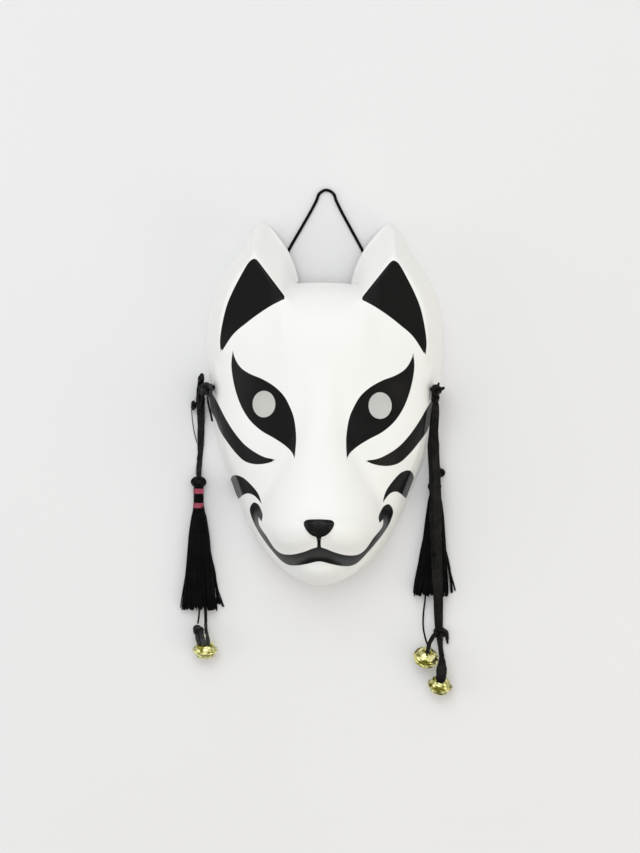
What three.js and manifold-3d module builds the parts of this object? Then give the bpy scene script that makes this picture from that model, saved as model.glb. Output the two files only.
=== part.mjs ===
// Kitsune mask: a moulded plastic fox face with raised ears, its round elastic head strap,
// and a tassel with jingle bells tied at each temple. It lies on its rim, face up.
// Millimetres: +X to the right as the mask is seen, +Y towards the ears, +Z up out of the face.
// The origin is on the surface that it lies on, under the middle of the mask.

import * as THREE from "three";
import { mergeVertices } from "three/addons/utils/BufferGeometryUtils.js";
import Module from "manifold-3d";

const wasm = await Module();
wasm.setup();

// Driving sizes of the mask
const maskWidth = 166;
const maskHeight = 254;
const maskDepth = 88;
const wall = 2;
const rimArch = 7;
const eyeHoleWidth = 16;
const eyeHoleHeight = 18.4;
const eyeHoleX = 40.2;
const eyeHoleY = -1.3;
const templeHole = 4.8;
const templeY = 10;
const templeZ = 18;

// Driving sizes of what hangs on it
const strapDiameter = 2.1;
const cordDiameter = 2.2;
const threadDiameter = 1.3;
const leftRibbonWidth = 4.8;
const rightRibbonWidth = 8;
const ribbonThickness = 1.6;
const bellDiameter = 15;
const bellRimWidth = 1.3;
const bellWall = 0.8;
const bellSlot = 1.8;
const fit = 0.3;

// How finely the faceted shell is divided
const foreheadSteps = 3;
const earInsideSteps = 7;
const earOutsideSteps = 12;
const faceSteps = 18;
const ringSteps = 13;
const strapSteps = 50;
const leftRibbonSteps = 12;
const rightRibbonSteps = 26;
const cordSteps = 12;

// The drawn face: the form below is worked out on a face of this size, then stretched
const drawn = { width: 166, height: 254, depth: 88 };
const stretchX = maskWidth / drawn.width;
const stretchY = maskHeight / drawn.height;
const stretchZ = maskDepth / drawn.depth;

const head = { halfWidth: 83, widestY: 40, chinY: -127, crownY: 84 };
const earTip = [44.5, 127];
const earFoot = [18, 83.7];
const earInside = [earFoot, [21.7, 96.3], [26, 106], [32, 114.5], [40.5, 124.5], earTip];
const earOutside = [
  earTip, [51, 121.5], [61, 104], [69.7, 92.8], [head.halfWidth - 4.2, 73],
  [head.halfWidth - 0.4, 55], [head.halfWidth, head.widestY],
];
const earDroop = { from: 40, share: 0.02 };
const earFold = { x: 26.8, y: 73.6, nx: 0.786, ny: -0.618, z: 48, slope: 2.6 };
const earFace = { x: 48.2, y: 100.8, z: 45.5, dx: -0.306, dy: 0.0571, bevel: 10.5 };
const snout = { half: 26, flare: 15, fall: 40, round: 2.7, muzzleStep: 6 };
const chin = { y: -111, halfWidth: 23, halfHeight: 16, high: 60, round: 2.6 };
const nose = { topY: -82, height: 12, halfWidth: 12, relief: 3.4, edge: 3.2 };
const whiskerPad = { x: 19, y: -90, halfWidth: 17, halfHeight: 13, relief: 3.5 };
const eyeSocket = { x: 40, y: -2, halfWidth: 20, halfHeight: 16, relief: 3 };
const cheekPinch = { y: -58, reach: 20, relief: 2 };
const dome = { high: 57, middle: 20, round: 2.2 };
const snoutProfile = [
  [-127, 30], [-109, 62], [-101, 73], [-94, 80], [-86, 83.6], [-77, 82], [-60, 77],
  [-40, 70], [-20, 64], [0, 60], [20, 56], [50, 42], [90, 20],
];

// Small shaping functions
function ease(from, to, value) {
  const t = Math.min(1, Math.max(0, (value - from) / (to - from)));
  return t * t * (3 - 2 * t);
}

function softMax(a, b, blend) {
  const h = Math.max(blend - Math.abs(a - b), 0) / blend;
  return Math.max(a, b) + (h * h * blend) / 4;
}

function softMin(a, b, blend) {
  return -softMax(-a, -b, blend);
}

function profileAt(profile, y) {
  const last = profile.length - 1;
  let i = 0;
  while (i < last - 1 && y > profile[i + 1][0]) i += 1;
  const before = profile[Math.max(i - 1, 0)];
  const [y0, z0] = profile[i];
  const [y1, z1] = profile[i + 1];
  const after = profile[Math.min(i + 2, last)];
  const t = Math.min(1, Math.max(0, (y - y0) / (y1 - y0)));
  const slopeIn = ((z1 - before[1]) / (y1 - before[0])) * (y1 - y0);
  const slopeOut = ((after[1] - z0) / (after[0] - y0)) * (y1 - y0);
  const t2 = t * t;
  const t3 = t2 * t;
  return (
    (2 * t3 - 3 * t2 + 1) * z0 + (t3 - 2 * t2 + t) * slopeIn +
    (3 * t2 - 2 * t3) * z1 + (t3 - t2) * slopeOut
  );
}

function distanceTo(line, x, y) {
  let nearest = Infinity;
  for (let i = 0; i + 1 < line.length; i += 1) {
    const [x0, y0] = line[i];
    const dx = line[i + 1][0] - x0;
    const dy = line[i + 1][1] - y0;
    const t = Math.min(1, Math.max(0, ((x - x0) * dx + (y - y0) * dy) / (dx * dx + dy * dy)));
    nearest = Math.min(nearest, Math.hypot(x - x0 - t * dx, y - y0 - t * dy));
  }
  return nearest;
}

function smoothLine(points, steps) {
  const curve = new THREE.CatmullRomCurve3(points.map(([x, y]) => new THREE.Vector3(x, y, 0)));
  return curve.getSpacedPoints(steps).map((p) => [p.x, p.y]);
}

// Half width of the rounded head at a height on the face, without the ears
function headHalfWidth(y) {
  if (y > head.widestY) {
    const t = Math.min(1, (y - head.widestY) / (head.crownY - head.widestY));
    return head.halfWidth * (1 - t ** 2.6) ** (1 / 2.6);
  }
  const t = Math.min(1, (head.widestY - y) / (head.widestY - head.chinY));
  const pinch = cheekPinch.relief * Math.exp(-(((y - cheekPinch.y) / cheekPinch.reach) ** 2));
  return Math.max(0, head.halfWidth * (1 - t ** 1.85) ** (1 / 1.9) - pinch);
}

const earInsideLine = smoothLine(earInside, 24);
const earOutsideLine = smoothLine(earOutside, 24);
for (let y = 30; y > -60; y -= 10) earOutsideLine.push([headHalfWidth(y), y]);

// The rim is raised between the ears, so the strap passes out under it
function rimHeight(x, y) {
  return rimArch * (1 - ease(27, 42, x)) * ease(10, 80, y);
}

function headHeight(x, y) {
  const below = Math.min(1, (dome.middle - y) / (dome.middle - head.chinY));
  const above = Math.min(1, (y - dome.middle) / (head.crownY - dome.middle));
  const crown = y < dome.middle ? (1 - below ** 2.6) ** 0.385 : (1 - above ** 2.4) ** 0.417;
  const across = Math.min(1, x / Math.max(headHalfWidth(y), 0.001));
  return dome.high * crown * Math.sqrt(1 - across ** dome.round);
}

// How far a point is above the line between the muzzle and the lower lip
function aboveMouth(x, y) {
  return y + 101 + 5.5 * ease(0, 18, x) - 0.045 * Math.max(0, x - 20) ** 2;
}

function snoutHeight(x, y) {
  const half = snout.half + snout.flare * ease(0, -75, y);
  const muzzleEnd = snout.muzzleStep * ease(2, -11, aboveMouth(x, y));
  return profileAt(snoutProfile, y) - snout.fall * (x / half) ** snout.round - muzzleEnd;
}

function chinHeight(x, y) {
  const r = Math.hypot(x / chin.halfWidth, (y - chin.y) / chin.halfHeight);
  return chin.high * Math.max(0, 1 - r ** chin.round) ** 0.45;
}

function noseHeight(x, y) {
  const down = (nose.topY - y) / nose.height;
  const taper = Math.sqrt(Math.max(0, 1 - Math.max(0, down) ** 1.5)) * ease(-0.12, 0.12, down);
  return nose.relief * ease(0, nose.edge, nose.halfWidth * taper - x);
}

function whiskerPadHeight(x, y) {
  const away = Math.hypot(
    (x - whiskerPad.x) / whiskerPad.halfWidth, (y - whiskerPad.y) / whiskerPad.halfHeight,
  );
  return whiskerPad.relief * ease(1.1, 0.5, away);
}

function eyeSocketDepth(x, y) {
  const across = (x - eyeSocket.x) / eyeSocket.halfWidth;
  const along = (y - eyeSocket.y) / eyeSocket.halfHeight;
  return eyeSocket.relief * Math.exp(-(across ** 2) - along ** 2);
}

function earHeight(x, y) {
  const face = earFace.z + earFace.dx * (x - earFace.x) + earFace.dy * (y - earFace.y) -
    30 * (1 - ease(0, 40, y)) - earDroop.share * Math.max(0, earDroop.from - x) ** 2;
  const inward = (x - earFold.x) * earFold.nx + (y - earFold.y) * earFold.ny;
  const insideEdge = distanceTo(earInsideLine, x, y);
  const rim = rimHeight(x, y);
  const insideWall = inward > 0
    ? earFold.z + earFold.slope * inward
    : rim + (earFold.z - rim) * (insideEdge / (insideEdge - inward));
  const outsideWall = face * (distanceTo(earOutsideLine, x, y) / earFace.bevel) ** 0.9;
  return softMin(softMin(face, insideWall, 4), outsideWall, 4);
}

// Height of the outside of the shell over a point of the drawn face
function faceHeight(side, y) {
  const x = Math.abs(side);
  const rim = rimHeight(x, y);
  let z = rim + headHeight(x, y) - eyeSocketDepth(x, y);
  z = softMax(z, snoutHeight(x, y), 6);
  z = softMax(z, chinHeight(x, y), 4) + noseHeight(x, y) + whiskerPadHeight(x, y);
  const onHead = Math.max(0, 1 - x / Math.max(headHalfWidth(y), 0.001));
  z = rim + (z - rim) * Math.min(1, (onHead * 12) ** 0.5);
  if (y > 0) z = softMax(z, earHeight(x, y), 3 + 5 * ease(0, 40, y));
  return Math.max(rim, z);
}

// Half of the outline, from the middle of the forehead's edge round the ear to the chin
function halfOutline() {
  const crownPart = [];
  for (let i = 0; i < foreheadSteps; i += 1) {
    const x = (earFoot[0] * i) / foreheadSteps;
    crownPart.push([x, head.crownY - 0.3 * (x / earFoot[0]) ** 2]);
  }
  const facePart = [];
  for (let i = 1; i <= 400; i += 1) {
    const angle = (i / 400) * (Math.PI / 2);
    const y = head.widestY - (head.widestY - head.chinY) * Math.sin(angle);
    facePart.push([headHalfWidth(y), y]);
  }
  facePart[facePart.length - 1][0] = 0;
  return [
    ...crownPart,
    ...smoothLine(earInside, earInsideSteps).slice(0, -1),
    ...smoothLine(earOutside, earOutsideSteps),
    ...evenPoints(facePart, faceSteps).slice(1),
  ];
}

function evenPoints(line, steps) {
  const along = [0];
  for (let i = 1; i < line.length; i += 1) {
    along.push(along[i - 1] + Math.hypot(line[i][0] - line[i - 1][0], line[i][1] - line[i - 1][1]));
  }
  const points = [];
  for (let k = 0, i = 1; k <= steps; k += 1) {
    const want = (along[along.length - 1] * k) / steps;
    while (i < line.length - 1 && along[i] < want) i += 1;
    const t = (want - along[i - 1]) / (along[i] - along[i - 1]);
    points.push(line[i].map((value, axis) => line[i - 1][axis] * (1 - t) + value * t));
  }
  return points;
}

// One ray from the middle line out to the rim, with its points spread along the surface
function rayPoints(start, end) {
  const fine = [];
  for (let i = 0; i <= 120; i += 1) {
    const t = 1 - (1 - i / 120) ** 2;
    const x = start[0] * (1 - t) + end[0] * t;
    const y = start[1] * (1 - t) + end[1] * t;
    const z = i === 120 ? rimHeight(x, y) : faceHeight(x, y);
    fine.push([x * stretchX, y * stretchY, z * stretchZ]);
  }
  const along = [0];
  for (let i = 1; i < fine.length; i += 1) {
    const [a, b] = [fine[i - 1], fine[i]];
    along.push(along[i - 1] + Math.hypot(b[0] - a[0], b[1] - a[1], b[2] - a[2]));
  }
  const points = [];
  for (let k = 0, i = 1; k <= ringSteps; k += 1) {
    const share = k / ringSteps;
    const want = along[along.length - 1] * (0.62 * share + 0.38 * share * share);
    while (i < fine.length - 1 && along[i] < want) i += 1;
    const t = (want - along[i - 1]) / (along[i] - along[i - 1]);
    points.push(fine[i].map((value, axis) => fine[i - 1][axis] * (1 - t) + value * t));
  }
  return points;
}

// Solids
function solidOf(geometry) {
  const bare = new THREE.BufferGeometry();
  const flat = geometry.index ? geometry.toNonIndexed() : geometry;
  bare.setAttribute("position", flat.getAttribute("position"));
  const merged = mergeVertices(bare, 1e-3);
  const corners = merged.index.array;
  const kept = [];
  for (let i = 0; i < corners.length; i += 3) {
    const [a, b, c] = [corners[i], corners[i + 1], corners[i + 2]];
    if (a !== b && b !== c && c !== a) kept.push(a, b, c);
  }
  return new wasm.Manifold(
    new wasm.Mesh({
      numProp: 3,
      vertProperties: merged.attributes.position.array,
      triVerts: new Uint32Array(kept),
    }),
  );
}

function geometryOf(solid) {
  const mesh = solid.getMesh();
  const geometry = new THREE.BufferGeometry();
  const positions = new Float32Array(mesh.numVert * 3);
  for (let i = 0; i < mesh.numVert; i += 1) {
    positions.set(mesh.vertProperties.subarray(i * mesh.numProp, i * mesh.numProp + 3), i * 3);
  }
  geometry.setAttribute("position", new THREE.BufferAttribute(positions, 3));
  geometry.setIndex(new THREE.BufferAttribute(new Uint32Array(mesh.triVerts), 1));
  return geometry;
}

function geometryFromTriangles(triangles) {
  const geometry = new THREE.BufferGeometry();
  geometry.setAttribute("position", new THREE.Float32BufferAttribute(triangles.flat(2), 3));
  return geometry;
}

// The shell's outer and inner skins are the same grid, the inner one set in by the wall
function shellSolid() {
  const outline = halfOutline();
  const spineTop = 15;
  const spineBottom = -100;
  const count = outline.length - 1;
  const outer = [];
  for (let i = -count; i <= count; i += 1) {
    const [x, y] = outline[Math.abs(i)];
    const spineY = spineTop + (spineBottom - spineTop) * (Math.abs(i) / count);
    outer.push(rayPoints([0, spineY], [x, y]).map((p) => [i < 0 ? -p[0] : p[0], p[1], p[2]]));
  }
  const at = (grid, i, k) => new THREE.Vector3(...grid[i][k]);
  const normals = outer.map((ray) => ray.map(() => new THREE.Vector3()));
  const last = outer.length - 1;
  for (let i = 0; i < last; i += 1) {
    for (let k = 0; k < ringSteps; k += 1) {
      const [a, b] = [at(outer, i, k), at(outer, i + 1, k)];
      const [c, d] = [at(outer, i + 1, k + 1), at(outer, i, k + 1)];
      const facing = new THREE.Vector3().crossVectors(c.sub(a), d.sub(b));
      if (facing.z < 0) facing.negate();
      for (const [ii, kk] of [[i, k], [i + 1, k], [i + 1, k + 1], [i, k + 1]]) normals[ii][kk].add(facing);
    }
  }
  for (let k = 0; k <= ringSteps; k += 1) {
    const seam = normals[0][k].clone().add(normals[last][k]);
    seam.x = 0;
    normals[0][k].copy(seam);
    normals[last][k].copy(seam);
    normals[count][k].x = 0;
  }
  for (let i = 0; i <= count; i += 1) {
    const middle = normals[count - i][0].clone().add(normals[count + i][0]);
    middle.x = 0;
    normals[count - i][0].copy(middle);
    normals[count + i][0].copy(middle);
  }
  const inner = outer.map((ray, i) => ray.map((point, k) => {
    const normal = normals[i][k].clone();
    if (k === ringSteps) normal.z = 0;
    normal.normalize();
    const set = [point[0] - wall * normal.x, point[1] - wall * normal.y, point[2] - wall * normal.z];
    if (k === ringSteps) set[2] = point[2];
    return set;
  }));
  const triangles = [];
  const quad = (a, b, c, d) => triangles.push([a, c, b], [a, d, c]);
  for (let i = 0; i < last; i += 1) {
    for (let k = 0; k < ringSteps; k += 1) {
      quad(outer[i][k], outer[i][k + 1], outer[i + 1][k + 1], outer[i + 1][k]);
      quad(inner[i][k], inner[i + 1][k], inner[i + 1][k + 1], inner[i][k + 1]);
    }
    quad(outer[i][ringSteps], inner[i][ringSteps], inner[i + 1][ringSteps], outer[i + 1][ringSteps]);
  }
  return solidOf(geometryFromTriangles(triangles));
}

function maskSolid() {
  let shell = shellSolid();
  for (const side of [-1, 1]) {
    const eye = new THREE.CylinderGeometry(0.5, 0.5, maskDepth, 24).rotateX(Math.PI / 2);
    eye.scale(eyeHoleWidth, eyeHoleHeight, 1).translate(side * eyeHoleX, eyeHoleY, maskDepth * 0.7);
    const temple = new THREE.CylinderGeometry(templeHole / 2, templeHole / 2, 30, 12);
    temple.rotateZ(Math.PI / 2).translate(side * (maskWidth / 2 - 5), templeY, templeZ);
    shell = shell.subtract(solidOf(eye)).subtract(solidOf(temple));
  }
  return shell;
}

// A solid with the way of one or more routes cut out of it, with room round them
function bored(solid, routes, width, thickness, steps = cordSteps) {
  return routes.reduce(
    (left, route) => left.subtract(solidOf(tube(route, width + 2 * fit, thickness + 2 * fit, steps))),
    solid,
  );
}

// X of the outside of the shell's side at a place on the temple
function sideX(y, z) {
  let inside = 40;
  let outside = maskWidth / 2;
  for (let i = 0; i < 30; i += 1) {
    const middle = (inside + outside) / 2;
    if (faceHeight(middle / stretchX, y / stretchY) * stretchZ > z) inside = middle;
    else outside = middle;
  }
  return outside;
}

// X at which a rounded lump just clears the side of the shell
function restingX(y, z, radii) {
  let x = 0;
  for (let i = -4; i <= 4; i += 1) {
    for (let j = -4; j <= 4; j += 1) {
      const reach = 1 - (i / 4) ** 2 - (j / 4) ** 2;
      if (reach < 0) continue;
      const side = sideX(y + (radii[1] * i) / 4, Math.max(0.5, z + (radii[2] * j) / 4));
      x = Math.max(x, side + radii[0] * Math.sqrt(reach) + fit);
    }
  }
  return x;
}

function sideLump(side, y, z, radii) {
  return solidOf(lump([side * restingX(y, z, radii), y, z], radii));
}

function vectors(points) {
  return points.map(([x, y, z]) => new THREE.Vector3(x, y, z));
}

// A tube of oval section along a route
function tube(route, width, thickness, steps, sides = 6) {
  const section = [];
  for (let i = 0; i < sides; i += 1) {
    const angle = ((i + 0.5) / sides) * Math.PI * 2;
    section.push(new THREE.Vector2((Math.cos(angle) * width) / 2, (Math.sin(angle) * thickness) / 2));
  }
  return new THREE.ExtrudeGeometry(new THREE.Shape(section), {
    steps,
    extrudePath: new THREE.CatmullRomCurve3(vectors(route)),
  });
}

function lump(center, radii, turn = 0) {
  const geometry = new THREE.SphereGeometry(1, 9, 5);
  return geometry.scale(...radii).rotateZ(turn).translate(...center);
}

// A bundle of threads, wide and ragged at its end, lying along -Y
function skirtGeometry(sections, ridges) {
  const around = ridges * 2;
  const rings = sections.map(({ x, y, z, width, thick, ragged = 0 }) => {
    const ring = [];
    for (let i = 0; i < around; i += 1) {
      const angle = (i / around) * Math.PI * 2;
      const swell = i % 2 ? 0.93 : 1;
      const step = ragged * (((i * 5) % 7) / 7 - 0.5);
      ring.push([
        x + Math.cos(angle) * (width / 2) * swell,
        y + step,
        z + Math.sin(angle) * (thick / 2) * swell,
      ]);
    }
    return ring;
  });
  const triangles = [];
  const cap = (ring, { x, y, z }, flip) => {
    for (let i = 0; i < around; i += 1) {
      const next = ring[(i + 1) % around];
      triangles.push(flip ? [[x, y, z], next, ring[i]] : [[x, y, z], ring[i], next]);
    }
  };
  for (let s = 0; s + 1 < rings.length; s += 1) {
    for (let i = 0; i < around; i += 1) {
      const j = (i + 1) % around;
      triangles.push([rings[s][i], rings[s][j], rings[s + 1][j]]);
      triangles.push([rings[s][i], rings[s + 1][j], rings[s + 1][i]]);
    }
  }
  cap(rings[0], sections[0], true);
  cap(rings[rings.length - 1], sections[sections.length - 1], false);
  return geometryFromTriangles(triangles);
}

// A thread band round a tassel's neck, along Y
function bandGeometry(inner, outer, length, center) {
  const half = length / 2;
  const profile = [[inner, -half], [outer, -half], [outer, half], [inner, half], [inner, -half]];
  const ring = new THREE.LatheGeometry(profile.map(([r, y]) => new THREE.Vector2(r, y)), 12);
  return ring.translate(...center);
}

// A jingle bell: two hollow halves pressed together at a rim, a cross slot below, a loop on top
function bellSolid() {
  const outer = bellDiameter / 2;
  const inner = outer - bellWall;
  const profile = [];
  const arc = (radius, from, to, steps) => {
    for (let i = 0; i <= steps; i += 1) {
      const angle = from + ((to - from) * i) / steps;
      profile.push(new THREE.Vector2(Math.cos(angle) * radius, Math.sin(angle) * radius * 0.92));
    }
  };
  arc(outer, -Math.PI / 2, -0.08, 3);
  profile.push(new THREE.Vector2(outer + bellRimWidth, -0.6), new THREE.Vector2(outer + bellRimWidth, 0.6));
  arc(outer, 0.08, Math.PI / 2, 3);
  profile[0].x = 0;
  profile[profile.length - 1].x = 0;
  let bell = solidOf(new THREE.LatheGeometry(profile, 10));
  bell = bell.subtract(solidOf(new THREE.SphereGeometry(inner, 8, 5).scale(1, 0.92, 1)));
  for (const turn of [0, Math.PI / 2]) {
    const slot = new THREE.BoxGeometry(outer * 1.5, outer, bellSlot);
    bell = bell.subtract(solidOf(slot.rotateY(turn).translate(0, -outer, 0)));
  }
  const loop = new THREE.TorusGeometry(2, 0.6, 4, 7).translate(0, outer * 0.92 + 1.2, 0);
  return bell.add(solidOf(loop));
}

// The middle of what hangs just below the end of a route
function below(route, across, down) {
  const [x, y] = route[route.length - 1];
  return [x + across, y - down];
}

function placedBell(center, lean, turn) {
  const geometry = geometryOf(bellSolid()).rotateX(lean).rotateZ(turn);
  geometry.computeBoundingBox();
  return geometry.translate(center[0], center[1], -geometry.boundingBox.min.z + 0.05);
}

// Materials
function material(color, roughness, metalness) {
  return new THREE.MeshStandardMaterial({ color, roughness, metalness });
}

const whitePlastic = material(0xf4f3ee, 0.25, 0);
const blackElastic = material(0x161616, 0.7, 0);
const blackSilk = material(0x1b1b1b, 0.55, 0);
const pinkThread = material(0xd8405a, 0.6, 0);
const brass = material(0xd8c25a, 0.3, 1);

const group = new THREE.Group();

function add(name, geometry, finish) {
  const mesh = new THREE.Mesh(geometry, finish);
  mesh.name = name;
  group.add(mesh);
  return mesh;
}

// The mask
const mask = maskSolid();
add("mask", geometryOf(mask), whitePlastic);

// The strap runs from hole to hole on the surface that the mask lies on, out under the raised rim
const strapFloor = strapDiameter / 2 + 0.1;
const strapEnd = sideX(templeY, templeZ) + 0.6;
const strapSide = [
  [strapEnd, templeY, templeZ],
  [strapEnd - 4.7, templeY + 0.4, templeZ - 0.4],
  [69.5, 14.5, 14.5],
  [65.5, 22, 9],
  [61, 33, 3.6],
  [55, 50, strapFloor],
  [46, 67, strapFloor],
  [37.4, 84, strapFloor],
  [31, 96, strapFloor],
  [24.9, 108.7, strapFloor],
  [17.5, 122, strapFloor],
  [10.4, 134.8, strapFloor],
  [7, 141.6, strapFloor],
  [4.8, 146.8, strapFloor],
];
const strapRoute = [
  ...strapSide.map(([x, y, z]) => [-x, y, z]),
  [0, 149.2, strapFloor],
  ...strapSide.slice().reverse(),
];
add("head_strap", tube(strapRoute, strapDiameter, strapDiameter, strapSteps), blackElastic);

// Left side
const leftRibbonRoute = [
  [-85.9, -0.2, 7], [-85.8, -4.4, 5.2], [-85.7, -10.3, 3.2], [-85.6, -19.3, 1.8], [-85.8, -31.3, 1.1],
  [-86.4, -42.3, 1.6], [-86.7, -51.1, 3.6],
];
const leftKnot = bored(
  sideLump(-1, 8.2, 23, [3.2, 4.5, 3.4])
    .add(sideLump(-1, templeY, templeZ, [2.6, 3.6, 3.6]))
    .add(sideLump(-1, 9, 13, [4, 4.8, 3.8]))
    .add(solidOf(lump([-85.8, 6.5, 10], [3.4, 13, 3.6]))),
  [leftRibbonRoute], leftRibbonWidth, ribbonThickness, leftRibbonSteps,
);
// A temple knot, cut clear of the shell's side and of the strap
function templeKnot(knot, side) {
  return knot.subtract(mask.translate([side * fit, 0, 0])).subtract(mask).subtract(solidOf(strapClear));
}

const strapClear = tube(strapRoute, strapDiameter + 2 * fit, strapDiameter + 2 * fit, strapSteps);
add("left_hanger_knot", geometryOf(templeKnot(leftKnot, -1)), blackSilk);

add("left_hanger_ribbon", tube(leftRibbonRoute, leftRibbonWidth, ribbonThickness, leftRibbonSteps), blackSilk);
add("left_side_knot", lump([-91.1, -3, 2.7], [2.2, 3.5, 2.5]), blackSilk);

const leftTassel = { x: -86.7, z: 4.9, headY: -56.2, bandRadius: 3.9, neckRadius: 3.2 };
add("left_tassel_head", lump([leftTassel.x, leftTassel.headY, leftTassel.z], [5.2, 4.4, 4.8]), blackSilk);
const leftBandY = { upper: -62.7, lower: -72.7, length: 3.2 };
for (const level of ["upper", "lower"]) {
  const center = [leftTassel.x, leftBandY[level], leftTassel.z];
  add(
    "left_tassel_band_" + level,
    bandGeometry(leftTassel.neckRadius + fit, leftTassel.bandRadius, leftBandY.length, center),
    pinkThread,
  );
}
const leftSkirt = skirtGeometry(
  [
    { x: -86.6, y: -60.9, z: 4.9, width: 6.2, thick: 6.2 },
    { x: -86.4, y: -74.9, z: 4.9, width: 6.2, thick: 6.2 },
    { x: -86.3, y: -78.3, z: 4.8, width: 10, thick: 7.6 },
    { x: -85.7, y: -93.3, z: 4.7, width: 16, thick: 8.8 },
    { x: -84.6, y: -119.3, z: 4.8, width: 20.5, thick: 9.2 },
    { x: -83.4, y: -143.3, z: 4.7, width: 26, thick: 8.8, ragged: 4 },
  ],
  8,
);
const leftCordRoute = [
  [-82.4, -119.3, 5], [-81.5, -131.3, 5], [-80.8, -143.3, 4.6], [-80.6, -149.3, 4.2], [-80.3, -154.8, 6.4],
  [-80, -159, 10], [-80, -161.6, 12],
];
const leftThreadRoute = [
  [-86, -121.3, 5], [-85.4, -133.3, 5], [-85, -144.4, 4.4], [-85.3, -150.4, 4.4], [-85.9, -155.2, 5.8],
];
const leftSkirtSolid = bored(
  bored(solidOf(leftSkirt), [leftCordRoute], cordDiameter, cordDiameter),
  [leftThreadRoute],
  threadDiameter,
  threadDiameter,
);
add("left_tassel_skirt", geometryOf(leftSkirtSolid), blackSilk);
add("left_bell_cord", tube(leftCordRoute, cordDiameter, cordDiameter, cordSteps), blackSilk);
add("left_bell_thread", tube(leftThreadRoute, threadDiameter, threadDiameter, cordSteps), blackSilk);
const leftBellKnot = bored(
  solidOf(lump([-85.6, -160, 6.5], [3.4, 3.8, 3.6])), [leftCordRoute], cordDiameter, cordDiameter,
);
add("left_bell_knot", geometryOf(leftBellKnot), blackSilk);
add("left_bell", placedBell(below(leftCordRoute, -0.4, 11.7), 0.35, 0), brass);

// Right side
const rightRibbonRoute = [
  [78.5, 2, 23.4], [78.2, -4.5, 21.6], [77.6, -13, 19.2], [77.2, -22.5, 14], [77.4, -33.2, 10.2], [78.2, -45.1, 9.8],
  [78.8, -59.1, 10.4], [79.4, -75.1, 10.6], [80, -93.1, 10.8], [80.7, -111.1, 11], [81.5, -127.1, 10.6],
  [82, -137.1, 8], [82.3, -146.1, 3.8], [82.7, -156.1, 2], [83.7, -167.1, 2.4], [84.6, -174.5, 5.4],
  [84.8, -180, 9.4], [84.7, -184, 12.4],
];
const rightKnot = bored(
  sideLump(1, 10, 25, [3.8, 4.4, 3.8])
    .add(sideLump(1, 5.5, 22, [3.4, 4.6, 3.2]))
    .add(sideLump(1, templeY, templeZ, [2.6, 3.6, 3.6])),
  [rightRibbonRoute], rightRibbonWidth, ribbonThickness, rightRibbonSteps,
);
add("right_hanger_knot", geometryOf(templeKnot(rightKnot, 1)), blackSilk);
add("right_ribbon", tube(rightRibbonRoute, rightRibbonWidth, ribbonThickness, rightRibbonSteps), blackSilk);
add("right_side_knot", lump([80.6, -47.5, 3.9], [4.6, 4.6, 3.6]), blackSilk);
add("right_tassel_head", lump([78.3, -57.1, 4.4], [4.6, 4.4, 4.2]), blackSilk);

const rightSkirt = skirtGeometry(
  [
    { x: 78.5, y: -61.9, z: 4.2, width: 6.4, thick: 6.2 },
    { x: 78.7, y: -67.1, z: 4.4, width: 9, thick: 7 },
    { x: 78.8, y: -79.1, z: 4.5, width: 13, thick: 8 },
    { x: 79.2, y: -103.1, z: 4.6, width: 20.5, thick: 8.7 },
    { x: 78.9, y: -131.2, z: 4.6, width: 28, thick: 8.6, ragged: 4 },
  ],
  8,
);
const rightCordRoute = [
  [73.9, -111.2, 5], [73.2, -123.2, 5], [72.8, -135.2, 4.6], [71.7, -146.3, 3], [71.7, -155.3, 4.6],
  [73.2, -162.6, 9.6], [75.2, -168.2, 14.6],
];
const rightSkirtSolid = bored(solidOf(rightSkirt), [rightCordRoute], threadDiameter, threadDiameter);
add("right_tassel_skirt", geometryOf(rightSkirtSolid), blackSilk);
add("right_bell_cord", tube(rightCordRoute, threadDiameter, threadDiameter, cordSteps), blackSilk);
const rightRibbonKnot = bored(
  solidOf(lump([83.1, -159.6, 3.9], [5.6, 4.6, 3.8])),
  [rightRibbonRoute], rightRibbonWidth, ribbonThickness, rightRibbonSteps,
);
add("right_ribbon_knot", geometryOf(rightRibbonKnot), blackSilk);
add("right_bell_upper", placedBell(below(rightCordRoute, -1.4, 8.5), 0.9, -0.3), brass);
add("right_bell_lower", placedBell(below(rightRibbonRoute, -0.8, 11.9), 0.4, -0.2), brass);

export default group;
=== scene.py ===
"""Kitsune mask: a moulded white plastic fox face with painted markings, its round elastic strap,
and a tassel with jingle bells tied at each temple. It lies on its rim, face up."""

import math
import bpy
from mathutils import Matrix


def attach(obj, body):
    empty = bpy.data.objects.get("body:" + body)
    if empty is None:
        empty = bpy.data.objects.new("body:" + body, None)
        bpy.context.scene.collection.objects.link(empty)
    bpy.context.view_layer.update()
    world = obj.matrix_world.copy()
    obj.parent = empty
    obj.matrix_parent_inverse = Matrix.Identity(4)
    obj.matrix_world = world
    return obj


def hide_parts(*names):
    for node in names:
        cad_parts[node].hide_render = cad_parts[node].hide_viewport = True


bl_info = {
    "name": "Kitsune mask",
    "version": (1, 0, 0),
    "blender": (4, 5, 0),
    "location": "3D View > Sidebar > Kitsune",
    "description": "Makes the shell, strap, ribbons, tassels and bells of a fox mask",
    "category": "Add Mesh",
}

import bmesh
import bpy
import numpy as np
from bpy.props import FloatProperty, FloatVectorProperty, IntProperty, PointerProperty
from mathutils import Matrix, Vector

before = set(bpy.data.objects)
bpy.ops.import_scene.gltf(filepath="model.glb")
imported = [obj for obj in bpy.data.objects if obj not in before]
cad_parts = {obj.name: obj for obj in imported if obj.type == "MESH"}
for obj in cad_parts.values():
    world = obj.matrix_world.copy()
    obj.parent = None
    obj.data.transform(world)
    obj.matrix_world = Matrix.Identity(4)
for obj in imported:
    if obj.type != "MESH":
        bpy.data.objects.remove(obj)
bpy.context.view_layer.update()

MM = 0.001
BODY = "root"

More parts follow.
